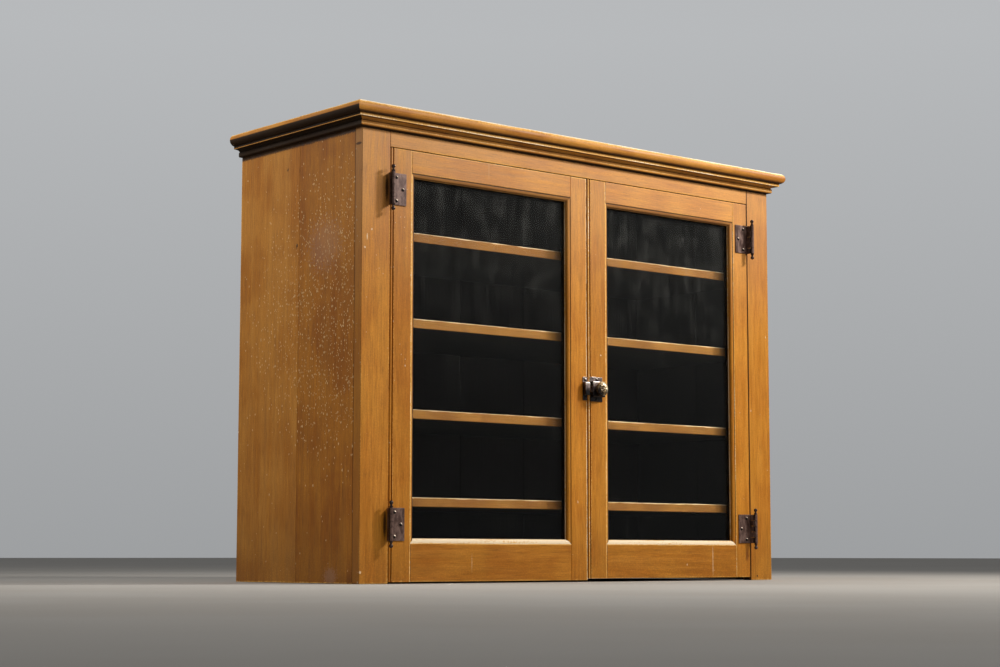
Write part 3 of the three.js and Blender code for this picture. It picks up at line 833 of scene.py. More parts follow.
def eased(outline: Sequence[Corner], fade: float = 0.003, steps: int = 3) -> list[Corner]:
    """Rounds the corners of an outline that have an ease, and lets their wear fade out beside them.

    Args:
        outline: The outline's points in order.
        fade: How far the wear reaches past a rounded corner, in metres.
        steps: How many pieces a rounded corner has.

    Returns:
        The new outline.
    """
    points: list[Corner] = []
    for index, corner in enumerate(outline):
        if not corner.ease:
            points.append(corner)
            continue
        ends = []
        for other in (outline[index - 1], outline[(index + 1) % len(outline)]):
            side = Vector((other.across - corner.across, other.up - corner.up))
            way = side.normalized()
            reach = min(corner.ease, side.length / 3)
            ends.append((way * reach, way * min(reach + fade, side.length / 2)))
        (near_in, far_in), (near_out, far_out) = ends
        start, end = corner.beside(near_in, corner.wear), corner.beside(near_out, corner.wear)
        points += [corner.beside(far_in), *bend(start, corner, end, steps), corner.beside(far_out)]
    return points


def slice_through(mesh: Mesh, axis: int, places: Sequence[float]) -> None:
    """Cuts new loops through a mesh, square to an axis.

    Args:
        mesh: The mesh.
        axis: The axis's number.
        places: Where the cuts lie along it.
    """
    normal = Vector([1.0 if index == axis else 0.0 for index in range(3)])
    for place in places:
        parts = [*mesh.verts, *mesh.edges, *mesh.faces]
        bmesh.ops.bisect_plane(mesh, geom=parts, dist=MERGE, plane_co=normal * place, plane_no=normal)


def even_places(low: float, high: float, pitch: float) -> list[float]:
    """Gives the places that divide a stretch into equal parts of about a pitch."""
    count = max(1, round((high - low) / pitch))
    return [low + (high - low) * index / count for index in range(1, count)]


def slice_evenly(mesh: Mesh, low: Vector, high: Vector, pitch: float, fade: float) -> None:
    """Gives a board loops along its longest side, a few across it, and some close to its arrises.

    Args:
        mesh: The mesh.
        low: Its lowest corner.
        high: Its highest corner.
        pitch: How far apart the loops along it are.
        fade: How far the wear reaches from an arris.
    """
    size = high - low
    longest = max(range(3), key=lambda axis: size[axis])
    for axis in range(3):
        step = pitch if axis == longest else 3 * pitch
        margins = [margin for margin in (fade / 2, fade) if 3 * margin < size[axis]]
        places = [low[axis] + margin for margin in margins] + [high[axis] - margin for margin in margins]
        if size[axis] > step:
            inset = max(margins, default=0.0)
            places += even_places(low[axis] + inset, high[axis] - inset, step)
        slice_through(mesh, axis, places)


def wear_arrises(mesh: Mesh, low: Vector, high: Vector, arrises: Arrises, fade: float) -> None:
    """Writes each point's wear by how close it lies to the arrises: hands and feet rub some, and others take
    painted shade.

    Args:
        mesh: The mesh.
        low: The board's lowest corner.
        high: The board's highest corner.
        arrises: How worn each arris is, and below zero how shaded, by the two faces that meet in it.
        fade: How far the wear reaches from an arris.
    """
    worn = mesh.verts.layers.float.get("wear") or mesh.verts.layers.float.new("wear")
    for vert in mesh.verts:
        most = 0.0
        for sides, weight in arrises.items():
            away = max(
                high[axis] - vert.co[axis] if far else vert.co[axis] - low[axis]
                for axis, far in (side.value for side in sides)
            )
            share = weight * max(0.0, 1 - away / fade)
            most = share if abs(share) > abs(most) else most
        vert[worn] = most


def run_of(
    outline: Sequence[Corner],
    length: float,
    seat: Seat,
    slopes: tuple[float, float] = (0.0, 0.0),
    pitch: float = 0.02,
    end_wear: float = 0.0,
    end_reach: float = 0.004,
) -> Mesh:
    """Runs an outline along a straight line, as a moulding is run.

    Args:
        outline: The outline's points in order.
        length: The run's length on the outline's upright axis.
        seat: Where it lies.
        slopes: How its two ends lean with the distance across, 1 or -1 for a mitre.
        pitch: How far apart its cross loops are.
        end_wear: The wear at its two ends.
        end_reach: How far that wear reaches.

    Returns:
        A closed mesh.
    """
    mesh = bmesh.new()
    worn = mesh.verts.layers.float.new("wear")
    first = []
    for corner in outline:
        vert = mesh.verts.new((corner.across, corner.up, 0.0))
        vert[worn] = corner.wear
        first.append(vert)
    face = mesh.faces.new(first)
    made = bmesh.ops.extrude_face_region(mesh, geom=[face])["geom"]
    last = [part for part in made if isinstance(part, bmesh.types.BMVert)]
    bmesh.ops.translate(mesh, verts=last, vec=(0.0, 0.0, length))
    for verts, slope in ((first, slopes[0]), (last, slopes[1])):
        for vert in verts:
            vert.co.z += slope * max(vert.co.x, 0.0)
    inner = max(slopes[0], -slopes[1], 0.0) * max(corner.across for corner in outline)
    slice_through(mesh, 2, even_places(inner, length - inner, pitch))
    if end_wear:
        near = 0.3 * end_reach
        slice_through(mesh, 2, [near, end_reach, length - end_reach, length - near])
        for vert in mesh.verts:
            away = min(vert.co.z, length - vert.co.z)
            vert[worn] = max(vert[worn], end_wear * max(0.0, 1 - away / end_reach))
    bmesh.ops.transform(mesh, matrix=seat.matrix(), verts=mesh.verts)
    bmesh.ops.recalc_face_normals(mesh, faces=mesh.faces)
    return mesh


def block_between(low: Vector, high: Vector) -> Mesh:
    """Makes a plain block.

    Args:
        low: Its lowest corner.
        high: Its highest corner.

    Returns:
        A closed mesh.
    """
    mesh = bmesh.new()
    bmesh.ops.create_cube(mesh, size=1.0)
    bmesh.ops.scale(mesh, vec=high - low, verts=mesh.verts)
    bmesh.ops.translate(mesh, vec=(low + high) / 2, verts=mesh.verts)
    return mesh


def ease_edges(mesh: Mesh, edges: Sequence[bmesh.types.BMEdge], reach: float, segments: int) -> None:
    """Rounds edges of a mesh.

    Args:
        mesh: The mesh.
        edges: The edges.
        reach: How far they are rounded.
        segments: How many pieces each rounding has.
    """
    bmesh.ops.bevel(
        mesh,
        geom=edges,
        offset=reach,
        segments=segments,
        profile=0.5,
        affect="EDGES",
        material=-1,
        clamp_overlap=True,
    )


def board_of(
    low: Vector,
    high: Vector,
    arrises: Arrises,
    ease: float = 0.0009,
    pitch: float = 0.015,
    fade: float = WEAR_FADE,
) -> Mesh:
    """Planes a board between two corners and eases its arrises.

    Args:
        low: Its lowest corner.
        high: Its highest corner.
        arrises: How worn each arris is, by the two faces that meet in it.
        ease: How far its arrises are rounded.
        pitch: How far apart its loops are along its longest side.
        fade: How far the wear reaches from an arris.

    Returns:
        A closed mesh.
    """
    mesh = block_between(low, high)
    ease_edges(mesh, mesh.edges[:], ease, 3)
    slice_evenly(mesh, low, high, pitch, fade)
    wear_arrises(mesh, low, high, arrises, fade)
    return mesh


def copy_of(node: str, arrises: Arrises, ease: float, pitch: float) -> Mesh:
    """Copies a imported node's faces, eases its outer arrises and gives it loops along its longest side.

    Args:
        node: The node's name.
        arrises: How worn each arris is, by the two faces that meet in it.
        ease: How far the arrises are rounded.
        pitch: How far apart the loops are.

    Returns:
        A closed mesh.
    """
    mesh = bmesh.new()
    mesh.from_mesh(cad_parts[node].data)
    for layer in list(mesh.loops.layers.uv):
        mesh.loops.layers.uv.remove(layer)
    bmesh.ops.remove_doubles(mesh, verts=mesh.verts, dist=MERGE)
    bmesh.ops.dissolve_limit(mesh, angle_limit=math.radians(1), verts=mesh.verts, edges=mesh.edges)
    sharp = math.radians(30)
    outer = [edge for edge in mesh.edges if edge.is_manifold and edge.calc_face_angle_signed() > sharp]
    ease_edges(mesh, outer, ease, 2)
    low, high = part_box(node)
    slice_evenly(mesh, low, high, pitch, WEAR_FADE)
    wear_arrises(mesh, low, high, arrises, WEAR_FADE)
    return mesh


def joined(*meshes: Mesh) -> Mesh:
    """Puts several shells into the first of the meshes and frees the others.

    Args:
        *meshes: The meshes.

    Returns:
        The first of them.
    """
    whole = meshes[0]
    for other in meshes[1:]:
        carrier = bpy.data.meshes.new("carrier")
        other.to_mesh(carrier)
        other.free()
        whole.from_mesh(carrier)
        bpy.data.meshes.remove(carrier)
    return whole


def weather(mesh: Mesh, seed: float, sway: float = 0.00025, dent: float = 0.0008) -> None:
    """Pushes a surface in a little by a slow wave, and in small dents where it is worn.

    Args:
        mesh: The mesh, whose points carry their wear.
        seed: A number that sets where the waves and dents fall.
        sway: The most that the slow wave goes in, in metres.
        dent: The most that a dent goes in, in metres.
    """
    worn = mesh.verts.layers.float["wear"]
    mesh.normal_update()
    shift = Vector([seed * step for step in SEED_STEPS])
    for vert in mesh.verts:
        slow = 0.5 + 0.5 * noise.noise(vert.co * WAVES_PER_METRE + shift)
        quick = max(0.0, noise.noise(vert.co * DENTS_PER_METRE + shift))
        depth = sway * slow + dent * max(vert[worn], 0.0) * quick
        vert.co -= vert.normal * depth


def spun(profile: Sequence[tuple[float, float]], seat: Seat, steps: int) -> Mesh:
    """Turns a profile round an axis, as on a lathe.

    Args:
        profile: Pairs of radius and height, which start and end on the axis.
        seat: Where it lies, its axis along the way that the seat runs.
        steps: How many facets it has round the axis.

    Returns:
        A closed mesh.
    """
    mesh = bmesh.new()
    mesh.verts.layers.float.new("wear")
    verts = [mesh.verts.new((radius, 0.0, height)) for radius, height in profile]
    edges = [mesh.edges.new(pair) for pair in zip(verts, verts[1:])]
    bmesh.ops.spin(
        mesh,
        geom=[*verts, *edges],
        cent=(0, 0, 0),
        axis=(0, 0, 1),
        angle=math.tau,
        steps=steps,
        use_merge=True,
    )
    bmesh.ops.remove_doubles(mesh, verts=mesh.verts, dist=MERGE / 10)
    bmesh.ops.transform(mesh, matrix=seat.matrix(), verts=mesh.verts)
    bmesh.ops.recalc_face_normals(mesh, faces=mesh.faces)
    return mesh


def plate_of(low: Vector, high: Vector, ease: float, rim: float = 0.7, face: float = 0.0) -> Mesh:
    """Makes a small metal block with rounded edges.

    Args:
        low: Its lowest corner.
        high: Its highest corner.
        ease: How far its edges are rounded.
        rim: How bright its edges are rubbed; below zero, how dark their painted shade is.
        face: How bright its faces are rubbed; below zero, how dark their painted shade is.

    Returns:
        A closed mesh.
    """
    mesh = block_between(low, high)
    worn = mesh.verts.layers.float.new("wear")
    ease_edges(mesh, mesh.edges[:], ease, 3)
    for axis in (0, 2):
        slice_through(mesh, axis, [low[axis] + 2 * ease, high[axis] - 2 * ease])
    for vert in mesh.verts:
        depths = sorted(min(vert.co[axis] - low[axis], high[axis] - vert.co[axis]) for axis in range(3))
        vert[worn] = face + (rim - face) * max(0.0, 1 - depths[1] / (2 * ease))
    return mesh


def screw_of(place: Vector, radius: float, height: float, turn: float) -> Mesh:
    """Makes a round screw head with a slot, which stands out of the front.

    Args:
        place: The middle of its foot.
        radius: Its radius.
        height: How far it stands proud.
        turn: The slot's angle in degrees.

    Returns:
        A closed mesh.
    """
    steps = 7
    slot_half, slot_floor = 0.13 * radius, 0.42 * height
    angles = [math.pi / 2 * step / steps for step in range(steps)]
    dome = [(radius * math.cos(angle), height * math.sin(angle)) for angle in angles]
    profile = [(0.0, -height / 2), (radius, -height / 2), *dome, (0.0, height)]
    mesh = spun(profile, Seat((0, 0, 0)), 24)
    slice_through(mesh, 0, [share * slot_half for share in (-1.25, -1.0, 1.0, 1.25)])
    worn = mesh.verts.layers.float["wear"]
    slot = [vert for vert in mesh.verts if abs(vert.co.x) <= 1.01 * slot_half and vert.co.z > 0.3 * height]
    for vert in slot:
        vert.co.z = slot_floor
    spin = Matrix.Rotation(math.radians(turn), 4, "Z")
    stand = Matrix.Translation(place) @ Matrix.Rotation(math.pi / 2, 4, "X")
    bmesh.ops.transform(mesh, matrix=stand @ spin, verts=mesh.verts)
    # The head's upper right gets a painted highlight and its lower left painted shade; the slot also takes
    # painted shade.
    for vert in mesh.verts:
        rise = (vert.co.z - place.z + 0.5 * (vert.co.x - place.x)) / radius
        vert[worn] = min(0.95, max(-0.8, 2.4 * rise - 0.2))
    for vert in slot:
        vert[worn] = -0.6
    return mesh


class Shop:
    """Turns meshes into finished pieces and keeps their count."""

    def __init__(self) -> None:
        """Starts with no piece made."""
        self.count = 0

    def finish(
        self,
        mesh: Mesh,
        name: str,
        material: Material,
        body: Body,
        slot: Slot,
        *nodes: str,
        smooth: float = 35.0,
    ) -> None:
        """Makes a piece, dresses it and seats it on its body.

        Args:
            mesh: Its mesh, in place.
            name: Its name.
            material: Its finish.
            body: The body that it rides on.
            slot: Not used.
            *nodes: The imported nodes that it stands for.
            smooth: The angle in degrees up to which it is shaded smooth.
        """
        self.count += 1
        number = mesh.verts.layers.float.new("board")
        for vert in mesh.verts:
            vert[number] = float(self.count)
        data = bpy.data.meshes.new(name)
        mesh.to_mesh(data)
        mesh.free()
        data.shade_smooth()
        data.set_sharp_from_angle(angle=math.radians(smooth))
        data.materials.append(material)
        piece = bpy.data.objects.new(name, data)
        bpy.context.scene.collection.objects.link(piece)
        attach(piece, body.value)
        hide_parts(*nodes)
        LOG.info("%s: %d faces on %s", name, len(data.polygons), body.value)

    def keep(self, node: str, material: Material, slot: Slot) -> None:
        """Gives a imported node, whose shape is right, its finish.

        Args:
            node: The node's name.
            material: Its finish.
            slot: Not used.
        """
        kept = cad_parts[node]
        kept.data.materials.clear()
        kept.data.materials.append(material)
        LOG.info("%s: kept as packed", node)


# The cupboard


CREAM = tone(240, 214, 176)
STRAW = tone(226, 190, 140)
BLACK = tone(18, 11, 7)
ENDLESS = 40.0
# Painted shade, with some dirt, on hollows, undersides, gaps and faces turned from the light.
GRIME_AND_SHADE = -0.9


def front_mark(x: float, z: float, wide: float, high: float, colour: Triple, *looks: float) -> Mark:
    """Gives a mark on the front from its place and reach across and up, its colour and its looks."""
    return Mark((x, -0.202, z), (wide, 0.02, high), colour, *looks)


def side_mark(y: float, z: float, wide: float, high: float, colour: Triple, *looks: float) -> Mark:
    """Gives a mark on the left side from its place and reach along and up, its colour and its looks."""
    return Mark((-0.59, y, z), (0.03, wide, high), colour, *looks)


FRONT_MARKS = (
    front_mark(0.3957, 0.0465, 0.0011, 0.0350, CREAM, 0.5),
    front_mark(0.5090, 0.0570, 0.0045, 0.0150, tone(146, 78, 34), 0.5),
    front_mark(0.5414, 0.0090, 0.0024, 0.0022, BLACK, 0.9, 0.1),
    front_mark(0.0534, 0.4866, 0.0018, 0.0018, CREAM, 0.9),
    front_mark(-0.3063, 0.0400, 0.0008, 0.0180, STRAW, 0.6),
    front_mark(-0.2628, 0.8550, 0.0006, 0.0210, STRAW, 0.45),
    front_mark(-0.5648, 0.6986, 0.0017, 0.0020, CREAM, 0.95),
    front_mark(-0.5762, 0.6834, 0.0012, 0.0060, CREAM, 0.9),
    front_mark(-0.5816, 0.6609, 0.0020, 0.0020, CREAM, 0.9),
    front_mark(-0.5870, 0.0220, 0.0026, 0.0030, CREAM, 0.8),
)
SIDE_MARKS = (
    side_mark(-0.0770, 0.6790, 0.0550, 0.0500, tone(168, 132, 112), 0.3, 0.8),
    side_mark(-0.1060, 0.0140, 0.0220, 0.0160, tone(158, 118, 96), 0.5, 0.6),
    side_mark(0.0226, 0.6882, 0.0030, 0.0050, BLACK, 0.8, 0.5),
    side_mark(0.0589, 0.8524, 0.0026, 0.0034, BLACK, 0.7, 0.5),
    side_mark(0.0150, 0.8420, 0.0014, 0.0080, tone(84, 50, 20), 0.6, 0.5),
)


class Finishes:
    """Every finish on the cupboard, built once."""

    def __init__(self) -> None:
        """Builds the materials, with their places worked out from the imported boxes."""
        splashes = Splashes((-0.57, -0.2, 0.6), reach=0.35, fewest=0.0015, most=0.03)
        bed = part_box("bed_mould_front")[0].z
        self.front_upright, self.front_across = self.front_paints(splashes, bed)
        self.side_planks = self.side_paints(bed)
        self.cornice_across, self.cornice_deep_shaded = self.cornice_paints(splashes)
        shelf_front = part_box("shelf_1")[0].y
        self.shelf = DarkWood("shelf_stain_and_shade", Grain.ACROSS, shelf_front + 0.0022).material()
        self.inside_across = DarkWood("inside_stain_and_shade_across", Grain.ACROSS).material()
        self.inside_upright = DarkWood("inside_stain_and_shade_upright", Grain.UPRIGHT).material()
        self.bare_upright, self.bare_across = self.bare_woods()
        self.glass = OldGlass().material()
        self.iron = AgedMetal("hinge_iron").material()
        self.tips, self.plates, self.knob = self.bright_metals()

    def front_paints(self, splashes: Splashes, bed: float) -> tuple[Material, Material]:
        """Builds the paint of the doors and the face frame.

        Args:
            splashes: The specks on it.
            bed: The height of the bed mould's lower edge, under which a line of painted shadow lies.

        Returns:
            The paint of upright and of level boards.
        """
        # A painted shadow under the bed mould.
        shadow_under_bed = Mark((0.0, 0.0, bed), (ENDLESS, ENDLESS, 0.003), BLACK, 0.92, 0.15)
        marks = (*FRONT_MARKS, shadow_under_bed, *self.gap_shadow_marks(), *self.stile_marks())
        upright = WornPaint("front_paint_upright", Grain.UPRIGHT, splashes, marks=marks)
        across = replace(upright, name="front_paint_across", grain=Grain.ACROSS)
        return upright.material(), across.material()

    @staticmethod
    def side_paints(bed: float) -> dict[str, Material]:
        """Builds the duller and more speckled paint of the two sides.

        Args:
            bed: The height of the bed mould's lower edge.

        Returns:
            The paint of the rear board and a darker copy for the front board, whose extra darkness is painted
            shade.
        """
        # A wider painted shadow under the bed mould on the sides.
        shadow_under_bed = Mark((0.0, 0.0, bed), (ENDLESS, ENDLESS, 0.009), BLACK, 0.85, 0.2)
        specks = Splashes(
            (-0.59, -0.11, 0.54), reach=0.36, fewest=0.008, most=0.55, colour=tone(226, 188, 134)
        )
        rear = WornPaint(
            "side_paint_rear",
            Grain.UPRIGHT,
            specks,
            paint=tone(190, 126, 46),
            warm=tone(194, 138, 64),
            deep=tone(172, 106, 28),
            painted_sheen_share=0.0,
            marks=(*SIDE_MARKS, shadow_under_bed),
            lining=Lining("X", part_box("top_board")[1].x - 0.002, mirrored=True),
            roughness=0.5,
        )
        # The front board's copy is darker as painted shade, the side dimming towards the front.
        front = replace(
            rear,
            name="side_paint_front_shaded",
            paint=tone(168, 105, 27),
            warm=tone(172, 116, 42),
            deep=tone(148, 86, 15),
        )
        return {"rear": rear.material(), "front": front.material()}

    @staticmethod
    def cornice_paints(splashes: Splashes) -> tuple[Material, Material]:
        """Builds the paint of the cornice.

        Args:
            splashes: The specks on it.

        Returns:
            The paint of its front and the darker copy of its sides, whose near-black colour is painted shade.
        """
        across = WornPaint(
            "cornice_paint_across",
            Grain.ACROSS,
            splashes,
            paint=tone(200, 136, 52),
            warm=tone(206, 146, 68),
            deep=tone(178, 112, 36),
            painted_sheen_share=0.0,
        )
        # The sides' copy paints its shade almost black.
        deep = replace(
            across, name="cornice_paint_deep_shaded", grain=Grain.DEEP, grime_and_shade=tone(12, 8, 5), roughness=0.75
        )
        return across.material(), deep.material()

    @staticmethod
    def bare_woods() -> tuple[Material, Material]:
        """Builds the bare wood, with the dark stain and painted shade on the inward half of its thickness.

        Returns:
            The wood of the back and of the top.
        """
        back_low, back_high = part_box("back_board_1")
        top_low, top_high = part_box("top_board")
        back_lining = Lining("Y", (back_low.y + back_high.y) / 2)
        top_lining = Lining("Z", (top_low.z + top_high.z) / 2)
        upright = BareWood("bare_wood_upright", Grain.UPRIGHT, back_lining)
        across = BareWood("bare_wood_across", Grain.ACROSS, top_lining)
        return upright.material(), across.material()

    @staticmethod
    def bright_metals() -> tuple[Material, Material, Material]:
        """Builds the metals that hands have rubbed, whose bright tone also paints the highlights on the
        latch's screws and knob.

        Returns:
            The metal of the hinge tips, of the latch's plates and of its knob.
        """
        tips = AgedMetal("hinge_tips", patina=tone(46, 29, 24), bloom=tone(74, 52, 42), roughness=0.28)
        plates = AgedMetal(
            "latch_plates",
            patina=tone(66, 50, 46),
            bloom=tone(152, 136, 130),
            bright=tone(255, 246, 236),
            roughness=0.3,
            bright_from=0.35,
        )
        knob = AgedMetal(
            "latch_knob_metal",
            patina=tone(88, 68, 42),
            bloom=tone(150, 124, 82),
            bright=tone(255, 234, 196),
            metallic=0.5,
            roughness=0.28,
            bright_from=0.45,
        )
        return tips.material(), plates.material(), knob.material()

    @staticmethod
    def gap_shadow_marks() -> tuple[Mark, ...]:
        """Works out the painted shade in the gaps round the doors.

        Returns:
            Its marks, behind the doors' front edges.
        """
        left_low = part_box("left_door_hinge_stile")[0]
        left_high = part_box("left_door_meeting_stile")[1]
        right_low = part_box("right_door_meeting_stile")[0]
        right_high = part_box("right_door_hinge_stile")[1]
        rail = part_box("face_top_rail")[0].z
        depth = left_low.y + 0.012
        across = (left_low.x - 0.001, (left_high.x + right_low.x) / 2, right_high.x + 0.001)
        upright = [Mark((place, depth, 0.0), (0.004, 0.01, ENDLESS), BLACK, 0.95, 0.1) for place in across]
        over = Mark((0.0, depth, (left_high.z + rail) / 2), (ENDLESS, 0.01, 0.003), BLACK, 0.95, 0.1)
        return (*upright, over)

    @staticmethod
    def stile_marks() -> tuple[Mark, ...]:
        """Works out the dark places on the face stiles.

        Returns:
            The painted shadow beside the left hinges and the darker paint on the outer sides.
        """
        hinge_shadows = []
        for level in ("upper", "lower"):
            low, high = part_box(f"hinge_left_{level}_frame_leaf")
            place = (low.x - 0.001, low.y, (low.z + high.z) / 2)
            hinge_shadows.append(Mark(place, (0.005, 0.03, (high.z - low.z) / 2), BLACK, 0.85, 0.08))
        reach = (0.0012, ENDLESS, ENDLESS)
        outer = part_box("face_stile_left")[0].x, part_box("face_stile_right")[1].x
        return (*hinge_shadows, *[Mark((place, 0.0, 0.0), reach, tone(108, 66, 24), 0.5, 0.1) for place in outer])


@dataclass
class Case:
    """The carcase: side boards, shelves, back, top and the face frame."""

    shop: Shop
    finishes: Finishes
    joint_gap: float = 0.0003

    def build(self) -> None:
        """Builds every board of the carcase."""
        self.sides()
        self.inside()
        self.back_and_top()
        self.face_frame()

    def sides(self) -> None:
        """Makes the two boards of each side."""
        for side, facing in (("left", Side.LEFT), ("right", Side.RIGHT)):
            for place in ("front", "rear"):
                node = f"side_{side}_{place}_board"
                arrises = {
                    (facing, Side.BACK): 0.5 if place == "rear" else 0.0,
                    (facing, Side.BOTTOM): 0.7,
                }
                mesh = copy_of(node, arrises, ease=0.0003, pitch=0.02)
                weather(mesh, self.shop.count, sway=0.0002, dent=0.0006)
                name = f"{side}_side_{place}_plank"
                self.shop.finish(mesh, name, self.finishes.side_planks[place], Body.CASE, Slot.SIDE, node)

    def inside(self) -> None:
        """Makes the shelves and the bottom board."""
        arrises = {(Side.FRONT, Side.TOP): 1.0, (Side.FRONT, Side.BOTTOM): 0.45}
        for level in range(1, 5):
            node = f"shelf_{level}"
            mesh = board_of(*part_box(node), arrises, ease=0.0014, pitch=0.02, fade=0.0045)
            weather(mesh, self.shop.count, sway=0.0003, dent=0.0009)
            self.shop.finish(mesh, f"shelf_{level}_board", self.finishes.shelf, Body.CASE, Slot.SHELF, node)
        mesh = board_of(*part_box("bottom_board"), {}, pitch=0.04)
        weather(mesh, self.shop.count)
        finish = self.finishes.inside_across
        self.shop.finish(mesh, "bottom_shelf_board", finish, Body.CASE, Slot.INTERIOR, "bottom_board")

    def back_and_top(self) -> None:
        """Makes the lapped back boards and the top."""
        upright, across = self.finishes.bare_upright, self.finishes.bare_across
        boards = [(f"back_board_{number}", f"back_plank_{number}", upright) for number in range(1, 7)]
        for node, name, finish in (*boards, ("top_board", "top_plank", across)):
            mesh = copy_of(node, {}, ease=0.0008, pitch=0.04)
            weather(mesh, self.shop.count, sway=0.0004)
            self.shop.finish(mesh, name, finish, Body.CASE, Slot.BARE, node)

    def face_frame(self) -> None:
        """Makes the two stiles and the rail of the face frame."""
        for side, outer, inner in (("left", Side.LEFT, Side.RIGHT), ("right", Side.RIGHT, Side.LEFT)):
            arrises = {
                (Side.FRONT, outer): 0.4,
                # The right stile's inner front arris takes painted shade beside the right door's gap.
                (Side.FRONT, inner): 0.35 if side == "left" else GRIME_AND_SHADE,
                (Side.FRONT, Side.BOTTOM): 0.7,
                (outer, Side.BACK): GRIME_AND_SHADE,
            }
            node = f"face_stile_{side}"
            self.member(node, *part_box(node), arrises, f"{side}_face_stile", self.finishes.front_upright)
        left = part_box("face_stile_left")[1].x + self.joint_gap
        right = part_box("face_stile_right")[0].x - self.joint_gap
        low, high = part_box("face_top_rail")
        corners = Vector((left, low.y, low.z)), Vector((right, high.y, high.z))
        arrises = {(Side.FRONT, Side.BOTTOM): 0.6}
        self.member("face_top_rail", *corners, arrises, "top_face_rail", self.finishes.front_across)

    def member(
        self, node: str, low: Vector, high: Vector, arrises: Arrises, name: str, finish: Material
    ) -> None:
        """Makes one member of the face frame.

        Args:
            node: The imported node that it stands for.
            low: Its lowest corner.
            high: Its highest corner.
            arrises: How worn each arris is, by the two faces that meet in it.
            name: Its name.
            finish: Its paint.
        """
        mesh = board_of(low, high, arrises, pitch=0.01)
        weather(mesh, self.shop.count)
        self.shop.finish(mesh, name, finish, Body.CASE, Slot.FRONT, node)


